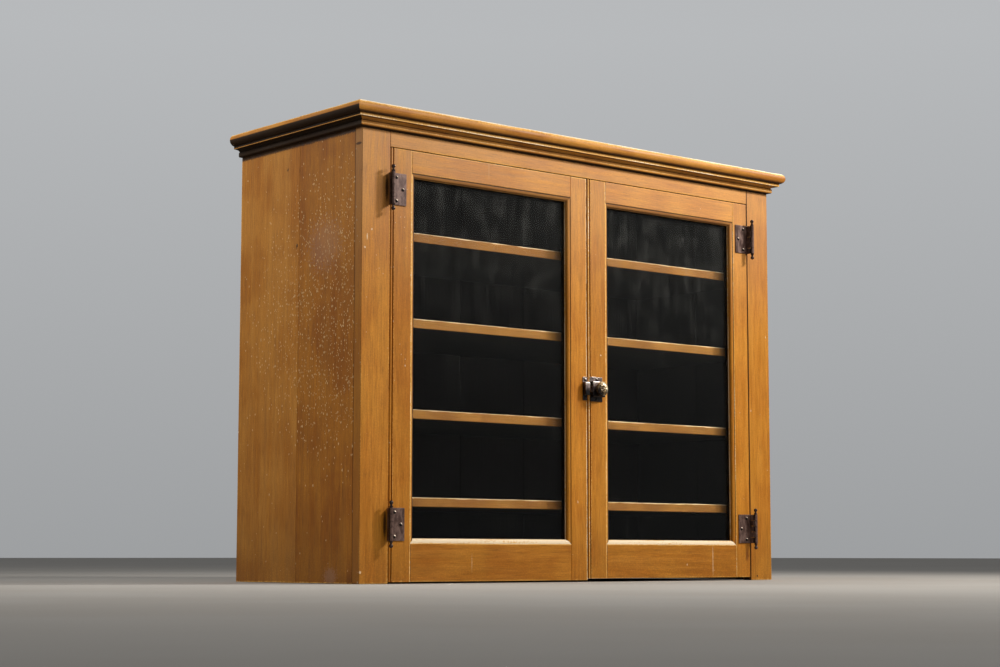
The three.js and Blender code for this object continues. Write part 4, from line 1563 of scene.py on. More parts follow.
@dataclass
class Cornice:
    """The half round nosing and the bed mould under it, mitred at the front corners."""

    shop: Shop
    finishes: Finishes
    fillet_height: float = 0.0062
    fillet_step: float = 0.0018
    fillet_chamfer: float = 0.0012
    fillet_wear: Stops = ((0.0006, 0.85), (0.0022, 0.7), (0.0042, 0.4))
    bead_projection: float = 0.009
    bead_height: float = 0.0105
    bead_ease: float = 0.0018
    bead_lip: float = 0.0002
    bead_wear: Stops = ((0.001, 0.8), (0.0024, -0.1))
    undercut: float = 0.0035
    # Stops up the nosing: its lower part takes painted shade, darker on the sides, and its top is rubbed
    # pale.
    nose_wear: Stops = ((0.0, GRIME_AND_SHADE), (0.1, -0.6), (0.2, 0.0), (0.6, 0.0), (1.0, 1.3))
    sooty_nose_wear: Stops = ((0.0, GRIME_AND_SHADE), (0.46, GRIME_AND_SHADE), (0.6, 0.0), (0.75, 0.2), (1.0, 1.1))
    # The cove takes painted shade all along, darkest where the fillet overhangs it.
    cove_wear: Stops = ((0.0, -0.6), (0.15, -0.15), (0.75, -0.15), (0.9, GRIME_AND_SHADE), (1.0, GRIME_AND_SHADE))
    mitre_gap: float = 0.0003

    def build(self) -> None:
        """Runs both mouldings round the front and the two sides."""
        nose_low, nose_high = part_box("nosing_front")
        bed_low, bed_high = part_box("bed_mould_front")
        projection, height = nose_high.y - nose_low.y, nose_high.z - nose_low.z
        nosing = self.nosing(projection, height, self.nose_wear)
        shaded_nosing = self.nosing(projection, height, self.sooty_nose_wear)
        bed = self.bed(bed_high.y - bed_low.y, bed_high.z - bed_low.z)
        # On the sides, all of the bed mould except the fillet's pale edge takes painted shade.
        shaded_bed = [corner if corner.wear > 0.8 else corner._replace(wear=GRIME_AND_SHADE) for corner in bed]
        self.run_round("nosing", nosing, shaded_nosing, nose_low.z)
        self.run_round("bed_mould", bed, shaded_bed, bed_low.z)

    def run_round(self, name: str, outline: list[Corner], shaded_section: list[Corner], height: float) -> None:
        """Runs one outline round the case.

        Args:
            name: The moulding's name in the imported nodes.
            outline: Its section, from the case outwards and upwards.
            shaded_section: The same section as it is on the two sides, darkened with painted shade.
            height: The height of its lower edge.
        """
        low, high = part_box("top_board")
        gap = self.mitre_gap / 2
        up, back = (0, 0, 1), (0, 1, 0)
        width, depth = high.x - low.x - 2 * gap, high.y - low.y - gap
        front_seat = Seat((low.x + gap, low.y, height), (0, -1, 0), up, (1, 0, 0))
        left_seat = Seat((low.x, low.y + gap, height), (-1, 0, 0), up, back)
        right_seat = Seat((high.x, low.y + gap, height), (1, 0, 0), up, back)
        across, deep = self.finishes.cornice_across, self.finishes.cornice_deep_shaded
        runs = (
            ("front", outline, front_seat, width, (-1.0, 1.0), across),
            ("left", shaded_section, left_seat, depth, (-1.0, 0.0), deep),
            ("right", shaded_section, right_seat, depth, (-1.0, 0.0), deep),
        )
        for side, section, seat, length, slopes, material in runs:
            mesh = run_of(section, length, seat, slopes, pitch=0.01)
            weather(mesh, self.shop.count, sway=0.0003)
            self.shop.finish(mesh, f"{name}_{side}_run", material, Body.CASE, Slot.FRONT, f"{name}_{side}")

    @staticmethod
    def nosing(projection: float, height: float, wear: Stops) -> list[Corner]:
        """Gives the nosing's section, rubbed through on its upper half and darkened below with painted shade.

        Args:
            projection: How far it stands out.
            height: Its height.
            wear: How worn and how shaded it is, by the share of its height.

        Returns:
            The section's points.
        """
        radius = height / 2
        inner = projection - radius
        nose = arc((inner, radius), radius, -90, 90, 24)
        worn = [point._replace(wear=between(wear, point.up / height)) for point in nose]
        foot = [Corner(0, 0, GRIME_AND_SHADE), Corner(0.7 * inner, 0, GRIME_AND_SHADE)]
        return [*foot, *worn, Corner(0.3 * inner, height, 0.3), Corner(0, height)]

    def bed(self, projection: float, height: float) -> list[Corner]:
        """Gives the bed mould's section: bead, cove and fillet, with painted shade in the cove, on the bead's
        crown, and under the bead and the fillet.

        Args:
            projection: How far its fillet stands out.
            height: Its height.

        Returns:
            The section's points.
        """
        bead, top = self.bead_projection, self.bead_height
        foot = bead - self.bead_ease
        fillet = height - self.fillet_height
        under = bend(
            Corner(bead - self.undercut, 0, GRIME_AND_SHADE), Corner(bead, 0), Corner(bead, self.undercut, 0.1), 5
        )
        belly = [Corner(bead, self.undercut + rise, wear) for rise, wear in self.bead_wear]
        crown = bend(
            Corner(bead, top - self.bead_ease, -0.2), Corner(bead, top), Corner(foot, top, -0.5), 4
        )
        cove = bend(
            Corner(foot, top + self.bead_lip),
            Corner(foot, fillet),
            Corner(projection - self.fillet_step, fillet),
            12,
        )
        square = [
            Corner(projection - self.fillet_chamfer, fillet, -0.6),
            *[Corner(projection, fillet + rise, wear) for rise, wear in self.fillet_wear],
            Corner(projection, height, -0.3),
            Corner(0, height),
        ]
        return [Corner(0, 0, GRIME_AND_SHADE), *under, *belly, *crown, *worn_along(cove, self.cove_wear), *square]


# Stops across each sticking: values below zero are painted shade, on faces and fillet lines turned from the
# light and where the moulding sinks towards the glass; the bottom one is rubbed pale.
CURVE_WEAR_AND_SHADE: dict[Side, Stops] = {
    Side.LEFT: ((0.0, 0.6), (0.15, 0.5), (0.35, GRIME_AND_SHADE), (1.0, GRIME_AND_SHADE)),
    Side.RIGHT: ((0.0, -0.85), (0.2, 0.1), (0.75, 0.1), (1.0, -0.85)),
    Side.BOTTOM: ((0.0, 1.0), (1.0, 1.0)),
    Side.TOP: ((0.0, -0.85), (0.2, -0.35), (0.8, -0.35), (1.0, -0.85)),
}
EDGE_WEAR_AND_SHADE: dict[Side, Stops] = {
    Side.LEFT: ((0.0, GRIME_AND_SHADE), (1.0, GRIME_AND_SHADE)),
    Side.RIGHT: ((0.0, 0.3), (0.16, -0.8), (0.32, 0.9), (0.6, 0.9), (0.7, GRIME_AND_SHADE), (1.0, GRIME_AND_SHADE)),
    Side.BOTTOM: ((0.0, 0.9), (0.16, 0.6), (1.0, -0.6)),
    Side.TOP: ((0.0, 0.6), (0.16, -0.8), (1.0, GRIME_AND_SHADE)),
}
EDGE_SHARES = (0.0, 0.16, 0.32, 0.46, 0.6, 0.7, 1.0)


@dataclass
class Door:
    """A glazed door: two stiles and two rails with a mitred ovolo, its pane and its beads."""

    shop: Shop
    finishes: Finishes
    side: str
    body: Body
    left_role: str
    right_role: str
    top_wear: float
    arris_wear: float
    edge_wear: float
    bead_rub_and_highlight: float
    sticking_width: float = 0.0095
    sticking_depth: float = 0.013
    sticking_quirk: float = 0.001
    ovolo_depth: float = 0.0062
    fillet: float = 0.0013
    rebate: float = 0.007
    bead_radius: float = 0.0032
    quirk_width: float = 0.0016
    quirk_depth: float = 0.0046
    joint_gap: float = 0.0003
    ease: float = 0.0008

    def __post_init__(self) -> None:
        """Takes the door's faces and the arrises of its opening from its packed members."""
        left_low, left_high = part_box(self.node(f"{self.left_role}_stile"))
        right_low, right_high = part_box(self.node(f"{self.right_role}_stile"))
        self.front, self.back = left_low.y, left_high.y
        self.bottom, self.top = left_low.z, left_high.z
        self.left, self.right = left_low.x, right_high.x
        self.arris_left = left_high.x - self.sticking_width
        self.arris_right = right_low.x + self.sticking_width
        self.arris_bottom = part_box(self.node("bottom_rail"))[1].z - self.sticking_width
        self.arris_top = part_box(self.node("top_rail"))[0].z + self.sticking_width

    def node(self, role: str) -> str:
        """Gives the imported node's name for one of the door's members."""
        return f"{self.side}_door_{role}"

    def build(self) -> None:
        """Builds the whole door."""
        self.stiles()
        self.rails()
        self.glazing()

    def sticking(self, role: Side) -> list[Corner]:
        """Gives the section of the moulded inner edge, from the arris towards the glass.

        Args:
            role: Which side of the opening it borders, which sets where it is worn and where it takes painted
                shade.

        Returns:
            The section's points.
        """
        thickness = self.back - self.front
        width, quirk, deep = self.sticking_width, self.sticking_quirk, self.ovolo_depth
        curve_end = width - self.fillet
        wall = width - self.rebate
        fall = self.sticking_depth - deep
        curve = bend(Corner(0, quirk), Corner(curve_end, quirk), Corner(curve_end, deep), 14)
        wear = EDGE_WEAR_AND_SHADE[role]
        edge = [Corner(width, deep + share * fall, between(wear, share)) for share in EDGE_SHARES]
        # The rebate's corner takes painted shade.
        back = [Corner(wall, self.sticking_depth, -0.6), Corner(wall, thickness), Corner(0, thickness)]
        return [*worn_along(curve, CURVE_WEAR_AND_SHADE[role]), *edge, *back]

    def strip(self, role: Side) -> Mesh:
        """Runs the moulded edge of one member, mitred at both ends.

        Args:
            role: Which side of the opening it borders.

        Returns:
            Its mesh.
        """
        gap = self.joint_gap / 2
        across = self.arris_right - self.arris_left - 2 * gap
        up = self.arris_top - self.arris_bottom - 2 * gap
        left, right = self.arris_left, self.arris_right
        bottom, top, front = self.arris_bottom, self.arris_top, self.front
        seats = {
            Side.LEFT: (Seat((left, front, bottom + gap)), up),
            Side.RIGHT: (Seat((right, front, bottom + gap), across=(-1, 0, 0)), up),
            Side.BOTTOM: (Seat((left + gap, front, bottom), across=(0, 0, 1), along=(1, 0, 0)), across),
            Side.TOP: (Seat((left + gap, front, top), across=(0, 0, -1), along=(1, 0, 0)), across),
        }
        seat, length = seats[role]
        return run_of(self.sticking(role), length, seat, (1.0, -1.0))

    def beaded(self, width: float) -> list[Corner]:
        """Gives the section of a stile with a quirk bead on its left edge.

        Args:
            width: The stile's width.

        Returns:
            The section's points.
        """
        thickness = self.back - self.front
        radius, rub, ease, deep = self.bead_radius, self.bead_rub_and_highlight, self.ease, self.quirk_depth
        bead = 2 * radius
        quirk = bead + self.quirk_width
        # The bead's flanks, the edge beside it and the quirk take painted shade; its crown is rubbed pale,
        # partly as a painted highlight.
        wear = ((0.0, GRIME_AND_SHADE), (0.28, GRIME_AND_SHADE), (0.4, rub), (0.68, rub), (0.8, GRIME_AND_SHADE), (1.0, GRIME_AND_SHADE))
        crown = arc((radius, radius), radius, 180, 360, 18)
        return eased([
            Corner(0, thickness, 0.6, ease),
            Corner(0, bead, -0.8),
            *[point._replace(wear=between(wear, point.across / bead)) for point in crown],
            Corner(bead, 0.75 * deep, -0.8),
            Corner(bead, deep, GRIME_AND_SHADE),
            Corner(quirk, deep, GRIME_AND_SHADE),
            Corner(quirk, 0.5 * deep, -0.8),
            Corner(quirk, 0, 0.4, 0.6 * ease),
            Corner(width, 0, 0.8, 0.8 * ease),
            Corner(width, thickness, 0.3, ease),
        ])

    def stiles(self) -> None:
        """Makes both stiles, the left one with its bead."""
        section = self.beaded(self.arris_left - self.left)
        seat = Seat((self.left, self.front, self.bottom))
        left = run_of(section, self.top - self.bottom, seat, pitch=0.01, end_wear=0.4)
        low = Vector((self.arris_right, self.front, self.bottom))
        high = Vector((self.right, self.back, self.top))
        arrises = {
            (Side.FRONT, Side.LEFT): self.arris_wear,
            (Side.FRONT, Side.RIGHT): self.edge_wear,
            (Side.FRONT, Side.BOTTOM): 0.5,
            (Side.FRONT, Side.TOP): self.top_wear,
        }
        right = board_of(low, high, arrises, self.ease, pitch=0.01)
        for role, side, board in ((self.left_role, Side.LEFT, left), (self.right_role, Side.RIGHT, right)):
            self.member(f"{role}_stile", board, side, self.finishes.front_upright)

    def rails(self) -> None:
        """Makes both rails, the lower one's moulding rubbed to the pale coat."""
        left = self.arris_left + self.joint_gap
        right = self.arris_right - self.joint_gap
        members = (
            ("bottom", Side.BOTTOM, self.bottom, self.arris_bottom, 0.95, 0.5),
            ("top", Side.TOP, self.arris_top, self.top, self.top_wear, 0.45),
        )
        for role, side, low, high, upper_wear, lower_wear in members:
            arrises = {(Side.FRONT, Side.TOP): upper_wear, (Side.FRONT, Side.BOTTOM): lower_wear}
            corners = Vector((left, self.front, low)), Vector((right, self.back, high))
            board = board_of(*corners, arrises, self.ease, pitch=0.01)
            self.member(f"{role}_rail", board, side, self.finishes.front_across)

    def member(self, role: str, board: Mesh, side: Side, finish: Material) -> None:
        """Joins a stile or rail with its moulded edge and finishes it.

        Args:
            role: Its name on the door.
            board: Its flat part.
            side: Which side of the opening it borders.
            finish: Its paint.
        """
        mesh = joined(board, self.strip(side))
        weather(mesh, self.shop.count)
        node = self.node(role)
        self.shop.finish(mesh, f"{node}_wood", finish, self.body, Slot.FRONT, node)

    def glazing(self) -> None:
        """Finishes the pane and makes the beads behind it."""
        self.shop.keep(self.node("glass"), self.finishes.glass, Slot.GLASS)
        upright, across = self.finishes.inside_upright, self.finishes.inside_across
        for role, finish in (("left", upright), ("right", upright), ("bottom", across), ("top", across)):
            node = self.node(f"glazing_bead_{role}")
            mesh = copy_of(node, {}, ease=0.0004, pitch=0.05)
            name = f"{self.side}_door_{role}_glazing_bead"
            self.shop.finish(mesh, name, finish, self.body, Slot.INTERIOR, node)


@dataclass
class Hinge:
    """A loose pin hinge: a bent leaf on the door's face, a leaf let into the stile and a ball tipped pin."""

    shop: Shop
    finishes: Finishes
    side: str
    level: str
    leaf_thickness: float = 0.0018
    leaf_gap: float = 0.0003
    leaf_ease: float = 0.0004
    leaf_lap: float = 0.0002
    axis_inset: float = 0.003
    barrel_radius: float = 0.00425
    barrel_clearance: float = 0.0006
    pin_proud: float = 0.014
    pin_radius: float = 0.002
    knuckles: int = 5
    knuckle_gap: float = 0.0003
    knuckle_rim: float = 0.0004
    tip_collar_radius: float = 0.004
    tip_collar_length: float = 0.0034
    tip_collar_ease: float = 0.0007
    tip_ball_radius: float = 0.0042
    tip_neck_radius: float = 0.0024
    screw_radius: float = 0.0035
    screw_height: float = 0.0022
    screws: tuple[Triple, ...] = ((18.0, 0.0144, 0.024), (-35.0, 0.0305, 0.0), (62.0, 0.0144, -0.024))

    def __post_init__(self) -> None:
        """Takes the hinge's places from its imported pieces."""
        pin_low, pin_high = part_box(self.node("pin"))
        leaf_low, leaf_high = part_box(self.node("door_leaf"))
        self.way = 1.0 if self.side == "left" else -1.0
        self.axis_x = (pin_low.x + pin_high.x) / 2
        self.axis_y = (pin_low.y + pin_high.y) / 2
        self.low, self.high = leaf_low.z, leaf_high.z
        self.middle = (self.low + self.high) / 2
        self.front = self.axis_y + self.pin_proud
        self.leaf_end = leaf_high.x if self.way > 0 else leaf_low.x
        self.frame_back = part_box(self.node("frame_leaf"))[1].y
        self.opening = self.axis_x + self.way * self.axis_inset
        self.tip_top = pin_high.z - self.middle

    def node(self, role: str) -> str:
        """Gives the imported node's name for one of the hinge's pieces."""
        return f"hinge_{self.side}_{self.level}_{role}"

    def build(self) -> None:
        """Builds the two leaves and the pin."""
        self.door_leaf()
        self.frame_leaf()
        self.pin()

    def spans(self, own: int) -> list[tuple[float, float]]:
        """Gives the heights of the knuckles of one leaf.

        Args:
            own: 0 for the frame's leaf and 1 for the door's.

        Returns:
            Each knuckle's lower and upper end.
        """
        pitch = (self.high - self.low) / self.knuckles
        half = self.knuckle_gap / 2
        ends = [(self.low + index * pitch, self.low + (index + 1) * pitch) for index in range(self.knuckles)]
        return [
            (low + (half if index else 0), high - (half if index < self.knuckles - 1 else 0))
            for index, (low, high) in enumerate(ends)
            if index % 2 == own
        ]

    def knuckle(self, low: float, high: float) -> Mesh:
        """Makes one rolled knuckle, with rounded rims, round the pin.

        Args:
            low: Its lower end.
            high: Its upper end.

        Returns:
            Its mesh.
        """
        rim, radius = self.knuckle_rim, self.barrel_radius
        wall = [(radius - rim, low), (radius, low + rim), (radius, high - rim), (radius - rim, high)]
        mesh = spun([(0.0, low), *wall, (0.0, high)], Seat((self.axis_x, self.axis_y, 0)), 32)
        worn = mesh.verts.layers.float["wear"]
        # Each knuckle keeps its patina, a little rubbed, only at its front ridge; its sides and back take
        # painted shade, and so do its rims where the knuckles meet.
        for vert in mesh.verts:
            ridge = 1.6 * min(0.9, (self.axis_y - vert.co.y) / radius) - 1.0
            vert[worn] = ridge if min(vert.co.z - low, high - vert.co.z) > rim / 2 else -0.6
        return mesh

    def block(self, near: float, far: float, front: float, back: float, low: float, high: float) -> Mesh:
        """Makes a flat piece of a leaf between two distances from the opening's edge."""
        ends = sorted((self.opening + self.way * near, self.opening + self.way * far))
        return plate_of(Vector((ends[0], front, low)), Vector((ends[1], back, high)), self.leaf_ease)

    def webs(self, own: int, near: float, far: float, back: float) -> list[Mesh]:
        """Makes a leaf's knuckles, the webs that carry them, and the web cut back round the others.

        Args:
            own: 0 for the frame's leaf and 1 for the door's.
            near: Where the webs start, from the opening's edge.
            far: Where they end.
            back: How far back they reach.

        Returns:
            Their meshes.
        """
        parts = []
        for low, high in self.spans(own):
            parts += [self.block(near, far, self.axis_y, back, low, high), self.knuckle(low, high)]
        cut_back = self.axis_y + self.barrel_radius + self.barrel_clearance
        inset = self.knuckle_gap
        for low, high in self.spans(1 - own):
            parts.append(self.block(near, far, cut_back, back, low + inset, high - inset))
        return parts

    def door_leaf(self) -> None:
        """Makes the leaf on the door's face, which bends out to the barrel."""
        thick, start = self.leaf_thickness, self.leaf_gap
        reach = abs(self.leaf_end - self.opening)
        parts = [self.block(start, reach, self.front - thick, self.front, self.low, self.high)]
        parts += self.webs(1, start, start + thick, self.front - thick / 2)
        for turn, inset, rise in self.screws:
            place = Vector((self.opening + self.way * inset, self.front - thick, self.middle + rise))
            parts.append(screw_of(place, self.screw_radius, self.screw_height, turn))
        body = Body.DOOR_LEFT if self.side == "left" else Body.DOOR_RIGHT
        name = f"{self.side}_{self.level}_hinge_leaf"
        self.shop.finish(joined(*parts), name, self.finishes.iron, body, Slot.IRON, self.node("door_leaf"))

    def frame_leaf(self) -> None:
        """Makes the leaf that is let into the face stile, with its three knuckles."""
        thick, front = self.leaf_thickness, self.front - self.leaf_lap
        leaf = self.block(-thick, 0.0, front, self.frame_back, self.low, self.high)
        mesh = joined(leaf, *self.webs(0, -thick, 0.0, self.front))
        name = f"{self.side}_{self.level}_hinge_frame_leaf"
        self.shop.finish(mesh, name, self.finishes.iron, Body.CASE, Slot.IRON, self.node("frame_leaf"))

    def pin(self) -> None:
        """Turns the pin with a collar and a ball at each end."""
        half = (self.high - self.low) / 2 + self.knuckle_gap
        collar = half + self.tip_collar_length
        width, ease, ball = self.tip_collar_radius, self.tip_collar_ease, self.tip_ball_radius
        middle = self.tip_top - ball
        neck = math.degrees(math.asin(self.tip_neck_radius / ball)) - 90
        turns = [math.radians(neck + (90 - neck) * step / 14) for step in range(14)]
        upper = [
            (self.pin_radius, half),
            (width - ease, half),
            (width, half + ease),
            (width, collar - 2 * ease),
            (width - 1.5 * ease, collar),
            (self.tip_neck_radius, collar),
            *[(ball * math.cos(turn), middle + ball * math.sin(turn)) for turn in turns],
            (0.0, self.tip_top),
        ]
        lower = [(radius, -height) for radius, height in reversed(upper)]
        mesh = spun([*lower, *upper], Seat((self.axis_x, self.axis_y, self.middle)), 32)
        worn = mesh.verts.layers.float["wear"]
        for vert in mesh.verts:
            vert[worn] = 0.5 if abs(vert.co.z - self.middle) > collar else 0.2
        name = f"{self.side}_{self.level}_hinge_pin"
        self.shop.finish(mesh, name, self.finishes.tips, Body.CASE, Slot.IRON, self.node("pin"))


@dataclass
class Latch:
    """The turn latch: a case with a knob on the right door, and a keeper on the left one."""

    shop: Shop
    finishes: Finishes
    plate: float = 0.0018
    plate_ease: float = 0.0006
    lug_overlap: float = 0.001
    wall: float = 0.0016
    body_height: float = 0.033
    keeper_height: float = 0.028
    edge: float = 0.0016
    mouth: float = 0.0066
    screw_radius: float = 0.0031
    screw_height: float = 0.0019
    spindle_foot: float = 0.0014
    spindle_radius: float = 0.0036
    neck_start: float = 0.0118
    neck_length: float = 0.0044
    neck_radius: float = 0.005
    rim_shares: Stops = ((0.55, 0.0), (0.9, 0.1), (0.99, 0.26), (1.0, 0.36), (0.98, 0.46), (0.92, 0.55))
    crown_share: float = 0.96
    petals: int = 8
    petals_from: float = 0.26
    petals_to: float = 0.78
    boss: float = 0.2
    beading: float = 0.86
    beading_half: float = 0.07
    relief: float = 0.0016

    def __post_init__(self) -> None:
        """Takes the place of the doors' front face from a packed rail."""
        self.door_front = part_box("right_door_bottom_rail")[0].y

    def build(self) -> None:
        """Builds the four pieces of the latch."""
        self.case()
        self.keeper()
        self.bolt()
        self.knob()

    def shell(self, low: Vector, high: Vector, mouth: Side) -> list[Mesh]:
        """Makes a raised body from its front and walls, so that the bolt has its hollow.

        Args:
            low: The body's lowest corner.
            high: The body's highest corner.
            mouth: The side that the bolt passes through.

        Returns:
            The front and the walls.
        """
        wall, ease = self.wall, 0.3 * self.wall
        inner = low.y + wall
        left = high.x - wall if mouth is Side.LEFT else low.x
        shut = Vector((left, inner, low.z)), Vector((left + wall, high.y, high.z))
        return [
            plate_of(low, Vector((high.x, low.y + 2.2 * wall, high.z)), self.edge, face=0.4),
            plate_of(Vector((low.x, inner, high.z - wall)), high, ease),
            plate_of(Vector((low.x, inner, low.z)), Vector((high.x, high.y, low.z + wall)), ease),
            # The wall that shuts the bolt's hollow takes painted shade.
            plate_of(*shut, ease, rim=0.0, face=-0.6),
        ]

    def housing(self, node: str, height: float, mouth: Side) -> tuple[list[Mesh], float]:
        """Makes the raised body, the two lugs and the two screws of the case or the keeper.

        Args:
            node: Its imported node's name.
            height: The body's height.
            mouth: The side that the bolt passes through.

        Returns:
            The meshes and the height of their middle.
        """
        low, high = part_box(node)
        middle, front = (low.z + high.z) / 2, high.y - self.plate
        foot, head = middle - height / 2, middle + height / 2
        parts = self.shell(Vector((low.x, low.y, foot)), Vector((high.x, high.y, head)), mouth)
        for bottom, top in ((head - self.lug_overlap, high.z), (low.z, foot + self.lug_overlap)):
            lug = Vector((low.x, front, bottom)), Vector((high.x, high.y, top))
            parts.append(plate_of(*lug, self.plate_ease))
        rise = (high.z - low.z + height) / 4
        for way, turn in ((1, 25.0), (-1, -50.0)):
            place = Vector(((low.x + high.x) / 2, front, middle + way * rise))
            parts.append(screw_of(place, self.screw_radius, self.screw_height, turn))
        return parts, middle

    @staticmethod
    def shade_below(mesh: Mesh, height: float, reach: float) -> None:
        """Paints shade over the lower part of a mesh, darker towards the bottom.

        Args:
            mesh: The mesh.
            height: Where the painted shade starts.
            reach: How far below it is at its darkest.
        """
        worn = mesh.verts.layers.float["wear"]
        for vert in mesh.verts:
            share = min(1.0, max(0.0, (height - vert.co.z) / reach))
            vert[worn] = (1 - share) * vert[worn] + GRIME_AND_SHADE * share

    def case(self) -> None:
        """Makes the case, with the mouth for the bolt in its left wall."""
        parts, middle = self.housing("latch_case", self.body_height, Side.LEFT)
        low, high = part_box("latch_case")
        half = self.body_height / 2
        inner, outer = low.y + self.wall, low.x + self.wall
        for bottom, top in ((middle + self.mouth, middle + half), (middle - half, middle - self.mouth)):
            jamb = Vector((low.x, inner, bottom)), Vector((outer, high.y, top))
            # The jambs inside the bolt's mouth take painted shade.
            parts.append(plate_of(*jamb, 0.0003, rim=-0.6, face=-0.7))
        mesh = joined(*parts)
        self.shade_below(mesh, middle + 0.25 * half, 0.8 * half)
        finish = self.finishes.plates
        self.shop.finish(mesh, "latch_case_shell", finish, Body.DOOR_RIGHT, Slot.LATCH, "latch_case")

    def keeper(self) -> None:
        """Makes the keeper, open towards the bolt."""
        parts, middle = self.housing("latch_keeper", self.keeper_height, Side.RIGHT)
        half = self.keeper_height / 2
        mesh = joined(*parts)
        self.shade_below(mesh, middle - 0.25 * half, 0.5 * half)
        finish = self.finishes.plates
        self.shop.finish(mesh, "latch_keeper_shell", finish, Body.DOOR_LEFT, Slot.LATCH, "latch_keeper")

    def bolt(self) -> None:
        """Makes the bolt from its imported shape, with eased edges."""
        mesh = copy_of("latch_bolt", {}, ease=0.0004, pitch=0.01)
        self.shop.finish(mesh, "latch_bolt_bar", self.finishes.plates, Body.BOLT, Slot.LATCH, "latch_bolt")

    def knob(self) -> None:
        """Turns the knob with its spindle and raises a rosette on its face."""
        low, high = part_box("latch_knob")
        centre = Vector(((low.x + high.x) / 2, 0, (low.z + high.z) / 2))
        radius = (high.x - low.x) / 2
        head = self.neck_start + self.neck_length
        depth = self.door_front - low.y - head
        profile = [
            (0.0, self.spindle_foot),
            (self.spindle_radius, self.spindle_foot),
            (self.spindle_radius, self.neck_start),
            (self.neck_radius, self.neck_start),
            (self.neck_radius, head),
            *[(share * radius, head + rise * depth) for share, rise in self.rim_shares],
        ]
        rings = 16
        edge, foot = self.rim_shares[-1]
        for step in range(1, rings):
            share = edge * (1 - step / rings)
            swell = (1 - (share / edge) ** 2) ** 0.7
            profile.append((share * radius, head + depth * (foot + (self.crown_share - foot) * swell)))
        profile.append((0.0, head + depth * self.crown_share))
        seat = Seat((centre.x, self.door_front, centre.z), up=(0, 0, 1), along=(0, -1, 0))
        mesh = spun(profile, seat, 96)
        self.raise_rosette(mesh, centre, radius, self.door_front - head - 0.5 * depth)
        finish = self.finishes.knob
        self.shop.finish(mesh, "latch_knob_turned", finish, Body.KNOB, Slot.LATCH, "latch_knob", smooth=55.0)

    def raise_rosette(self, mesh: Mesh, centre: Vector, radius: float, face: float) -> None:
        """Shapes petals, a beaded rim and a boss on the knob's face, high parts worn and hollows dark, with a
        painted highlight towards the upper right and painted shade towards the lower left.

        Args:
            mesh: The knob's mesh, in place.
            centre: The middle of the knob.
            radius: Its radius.
            face: The place along the depth in front of which its face lies.
        """
        worn = mesh.verts.layers.float["wear"]
        for vert in mesh.verts:
            across, rise = vert.co.x - centre.x, vert.co.z - centre.z
            share = math.hypot(across, rise) / radius
            if vert.co.y > face or share > 0.93:
                # Back and rim: a painted highlight towards the top and painted shade below.
                vert[worn] = 0.8 * rise / radius - 0.1 if vert.co.y > face else 0.9 * rise / radius + 0.2
                continue
            petal = abs(math.cos(self.petals * math.atan2(rise, across) / 2))
            way = (share - self.petals_from) / (self.petals_to - self.petals_from)
            ring = math.sin(math.pi * min(1.0, max(0.0, way)))
            boss = max(0.0, 1 - (share / self.boss) ** 2)
            rim = max(0.0, 1 - ((share - self.beading) / self.beading_half) ** 2)
            lift = max(ring * petal, boss, rim * 0.8)
            vert.co.y += self.relief * (1 - lift)
            # The face: raised parts rubbed, with a painted highlight towards the upper right.
            vert[worn] = 0.7 * lift - 0.15 + 0.75 * (across + rise) / radius


# The studio


@dataclass(frozen=True)
class Lamp:
    """A square lamp: where it hangs, what it faces, its side, its power and how wide it throws."""

    name: str
    place: Triple
    aim: Triple
    size: float
    power: float
    colour: Triple = (1.0, 0.97, 0.93)
    spread: float = 180.0

    def hang(self) -> None:
        """Hangs the lamp in the scene."""
        data = bpy.data.lights.new(self.name, "AREA")
        data.size = self.size
        data.energy = self.power
        data.color = self.colour
        data.spread = math.radians(self.spread)
        lamp = bpy.data.objects.new(self.name, data)
        bpy.context.scene.collection.objects.link(lamp)
        way = Vector(self.aim) - Vector(self.place)
        lamp.matrix_world = Matrix.Translation(self.place) @ way.to_track_quat("-Z", "Y").to_matrix().to_4x4()


LAMPS = (
    Lamp("key_lamp", (2.05, -1.7, 2.35), (-0.2, -0.2, 0.95), 0.4, 50.0, (1.0, 0.96, 0.9), 130.0),
    Lamp("second_lamp", (1.1, -2.3, 2.3), (-0.2, -0.2, 0.95), 0.9, 14.0, spread=130.0),
    Lamp("side_lamp", (-1.95, 1.0, 2.1), (-0.59, 0.1, 0.95), 0.9, 12.0, spread=110.0),
)


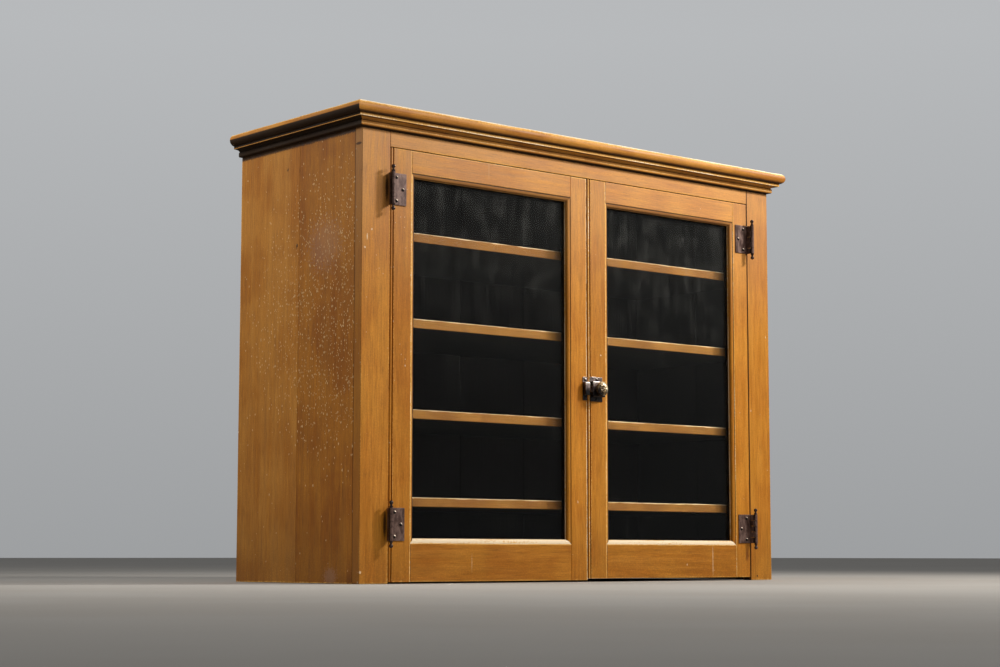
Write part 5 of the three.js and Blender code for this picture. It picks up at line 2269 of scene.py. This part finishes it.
@dataclass
class Studio:
    """The floor, the soft lamps, the world and the camera."""

    lens: float = 72.94
    sensor: float = 36.0
    eye: Triple = (-2.9319, -3.4018, 0.0561)
    yaw: float = 40.153
    pitch: float = 6.240
    roll: float = 0.046
    floor_half: float = 30.0
    floor_drop: float = 0.0006
    sky: Triple = (0.95, 0.975, 1.0)
    surround: float = 0.2
    backdrop_low: float = 0.36
    backdrop_high: float = 0.5
    backdrop_rise: float = 0.25

    def build(self) -> None:
        """Builds the studio and sets the view."""
        self.floor()
        self.world()
        for lamp in LAMPS:
            lamp.hang()
        self.camera()
        bpy.context.scene.view_settings.view_transform = "Standard"

    def floor(self) -> None:
        """Lays the floor."""
        mesh = bmesh.new()
        bmesh.ops.create_grid(mesh, x_segments=2, y_segments=2, size=self.floor_half)
        data = bpy.data.meshes.new("studio_floor")
        mesh.to_mesh(data)
        mesh.free()
        data.transform(Matrix.Translation((0.0, 0.0, -self.floor_drop)))
        data.materials.append(StudioFloor().material())
        floor = bpy.data.objects.new("studio_floor", data)
        bpy.context.scene.collection.objects.link(floor)

    def world(self) -> None:
        """Sets a dim even surround, behind which the eye, metal and glass see a pale backdrop."""
        graph = Graph("studio_world", world=True)
        fade = graph.node("MapRange", {
            "Value": graph.part(graph.node("TexCoord").outputs["Generated"], "Z"),
            "From Min": 0.0,
            "From Max": self.backdrop_rise,
            "To Min": self.backdrop_low,
            "To Max": self.backdrop_high,
        })
        rays = graph.node("LightPath").outputs
        seen = rays["Is Camera Ray"]
        for kind in ("Is Glossy Ray", "Is Transmission Ray"):
            seen = graph.sums("MAXIMUM", seen, rays[kind])
        strength = graph.node("Mix", {"Factor": seen, "A": self.surround, "B": fade.outputs[0]})
        background = graph.node("Background", {"Color": self.sky, "Strength": strength.outputs["Result"]})
        bpy.context.scene.world = graph.ended(background.outputs[0])

    def camera(self) -> None:
        """Sets the camera where the photograph was taken from."""
        data = bpy.data.cameras.new("camera")
        data.lens = self.lens
        data.sensor_width = self.sensor
        camera = bpy.data.objects.new("camera", data)
        bpy.context.scene.collection.objects.link(camera)
        turn = (
            Matrix.Rotation(math.radians(-self.yaw), 4, "Z")
            @ Matrix.Rotation(math.radians(90 + self.pitch), 4, "X")
            @ Matrix.Rotation(math.radians(self.roll), 4, "Z")
        )
        camera.matrix_world = Matrix.Translation(self.eye) @ turn
        bpy.context.scene.camera = camera


def main() -> None:
    """Builds the cupboard and its studio, and reports each piece."""
    logging.basicConfig(level=logging.INFO, format="%(message)s")
    shop = Shop()
    finishes = Finishes()
    left_wear = {"top_wear": 0.85, "arris_wear": 0.2, "edge_wear": 1.25, "bead_rub_and_highlight": 0.1}
    # The right door's outer front arris takes painted shade beside its gap.
    right_wear = {"top_wear": 0.35, "arris_wear": 0.9, "edge_wear": -0.5, "bead_rub_and_highlight": 0.7}
    hinges = [(side, level) for side in ("left", "right") for level in ("upper", "lower")]
    assemblies = (
        Studio(),
        Case(shop, finishes),
        Cornice(shop, finishes),
        Door(shop, finishes, "left", Body.DOOR_LEFT, "hinge", "meeting", **left_wear),
        Door(shop, finishes, "right", Body.DOOR_RIGHT, "meeting", "hinge", **right_wear),
        *[Hinge(shop, finishes, side, level) for side, level in hinges],
        Latch(shop, finishes),
    )
    for assembly in assemblies:
        assembly.build()
    LOG.info("%d pieces made", shop.count)


if __name__ == "__main__":
    main()
